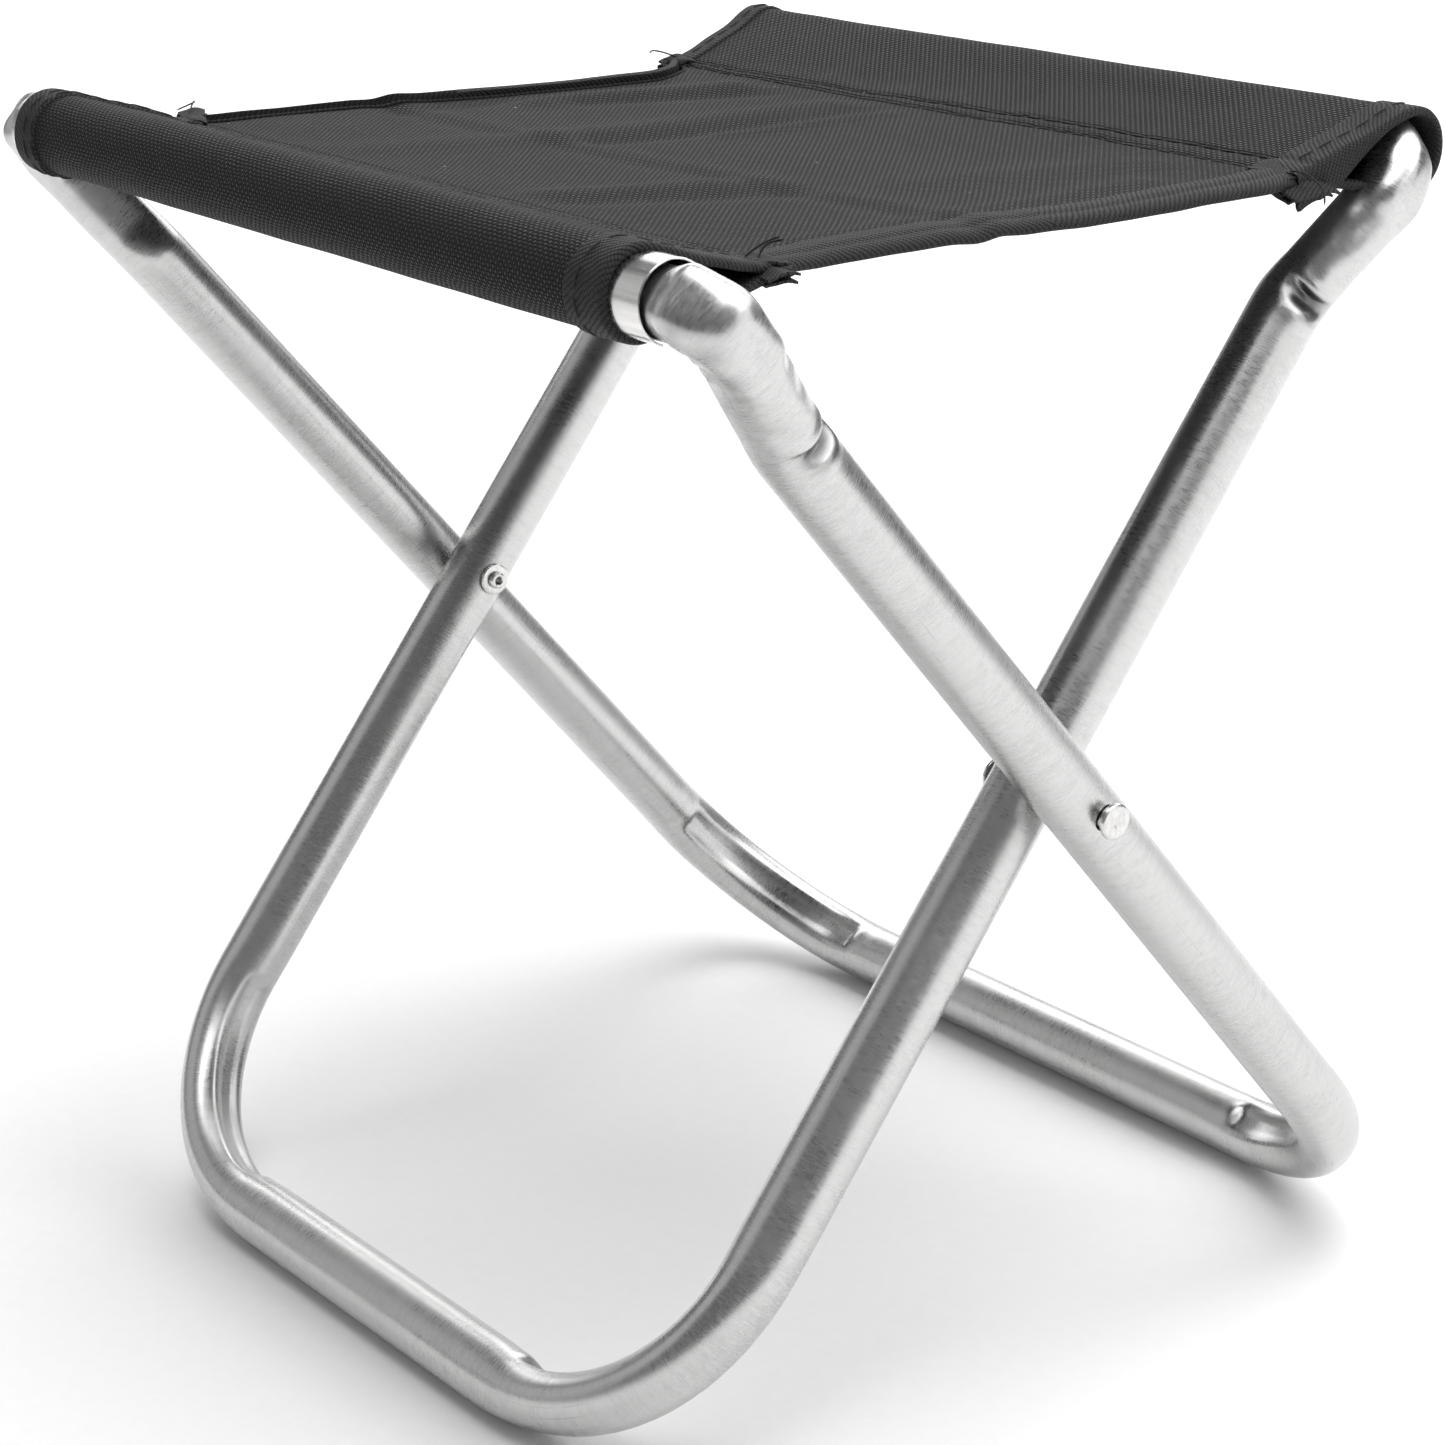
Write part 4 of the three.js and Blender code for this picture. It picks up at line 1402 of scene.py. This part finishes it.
def plated_steel(name, value, rough, scale):
    """Bright plated steel with hairline scratches"""
    m = Shader(name)
    place = m.object_place()
    scratch = m.noise(m.stretched(place, 30.0, 900.0, 500.0), 1.0, 3, 0.6)
    cloudy = m.noise(place, scale, 3, 0.6)
    base = m.mixed(m.steps(scratch, 0.3, 0.7, 0.82, 1.0), grey(0.0), grey(value, 0.01))
    finish = m.plus(m.steps(cloudy, 0.3, 0.7, -0.05, 0.06), m.steps(scratch, 0.3, 0.7, rough, rough + 0.09))
    return m.finish(Base_Color=base, Metallic=1.0, Roughness=finish, Normal=m.bumped(scratch, 0.000008))


def pale_floor():
    m = Shader("pale_floor")
    grain = m.noise(m.object_place(), 260.0, 4, 0.6)
    clouds = m.noise(m.object_place(), 2.5, 3, 0.5)
    tone = m.times(m.steps(grain, 0.3, 0.7, 0.985, 1.0), m.steps(clouds, 0.3, 0.7, 0.985, 1.0))
    base = m.mixed(tone, grey(0.0), grey(0.93))
    return m.finish(Base_Color=base, Roughness=0.85, Specular_IOR_Level=0.2, Normal=m.bumped(grain, 0.00005))


MATERIALS = {
    "aluminium": drawn_aluminium(),
    "sleeve": plated_steel("plated_sleeve", 0.82, 0.16, 60.0),
    "steel": plated_steel("plated_rivet", 0.72, 0.22, 300.0),
    "cloth": woven_cloth(),
    "tape": twill_tape("black_twill_tape", TAPE_GREY, 0.35),
    # The same tape with painted shade, for the far bindings
    "painted_shade_tape": twill_tape("shaded_twill_tape", SHADED_GREY, 0.12),
    "thread": sewing_thread(),
}
for kind, made in PIECES.items():
    for piece in made:
        piece.data.materials.clear()
        piece.data.materials.append(MATERIALS[kind])

bpy.context.view_layer.update()
for piece, joint, way, anchor, keep in SQUASHES:
    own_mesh(piece)


# ---- floor, light and camera ----

def make_floor():
    work = bmesh.new()
    bmesh.ops.create_grid(work, x_segments=8, y_segments=8, size=FLOOR_HALF)
    mesh = bpy.data.meshes.new("floor")
    work.to_mesh(mesh)
    work.free()
    floor = new_object("floor", mesh)
    floor.location = (0, 0, -FLOOR_DROP)
    mesh.materials.append(pale_floor())


def compass(azimuth, elevation):
    """The way to a place, as the camera's own angles are measured"""
    az, el = math.radians(azimuth), math.radians(elevation)
    return Vector((math.sin(az) * math.cos(el), -math.cos(az) * math.cos(el), math.sin(el)))


def soft_light(name, place, turn, size, power):
    light = bpy.data.lights.new(name, "AREA")
    light.shape = "RECTANGLE"
    light.size, light.size_y = size
    light.energy = power
    lamp = new_object(name, light)
    lamp.location = place
    lamp.rotation_euler = turn


def make_lights():
    """Soft lights that face the stool, and one that looks down on the floor behind it"""
    for name, azimuth, elevation, distance, size, power in LIGHTS:
        way = compass(azimuth, elevation)
        place = Vector((0, 0, PIVOT_Z * MM)) + way * distance
        soft_light(name, place, way.to_track_quat("Z", "Y").to_euler(), size, power)
    soft_light("floor_wash", WASH_PLACE, (0, 0, math.radians(CAMERA_AZIMUTH)), WASH_SIZE, WASH_POWER)
    world = bpy.data.worlds.new("studio")
    world.use_nodes = True
    background = world.node_tree.nodes["Background"]
    background.inputs[0].default_value = grey(1.0)
    background.inputs[1].default_value = WORLD_STRENGTH
    bpy.context.scene.world = world


def make_camera():
    az, roll = math.radians(CAMERA_AZIMUTH), math.radians(CAMERA_ROLL)
    back = compass(CAMERA_AZIMUTH, CAMERA_ELEVATION)
    level = Vector((math.cos(az), math.sin(az), 0))
    up = back.cross(level)
    right = level * math.cos(roll) + up * math.sin(roll)
    top = up * math.cos(roll) - level * math.sin(roll)
    camera_data = bpy.data.cameras.new("camera")
    camera_data.sensor_width = SENSOR_WIDTH
    camera_data.lens = CAMERA_LENS
    camera_data.clip_start = NEAREST_SEEN
    camera = new_object("camera", camera_data)
    turn = Matrix((right, top, back)).transposed().to_4x4()
    camera.matrix_world = Matrix.Translation(CAMERA_PLACE) @ turn
    bpy.context.scene.camera = camera


make_floor()
make_lights()
make_camera()
bpy.context.scene.view_settings.view_transform = "Standard"
bpy.context.scene.view_settings.exposure = 0.0

bpy.context.view_layer.update()
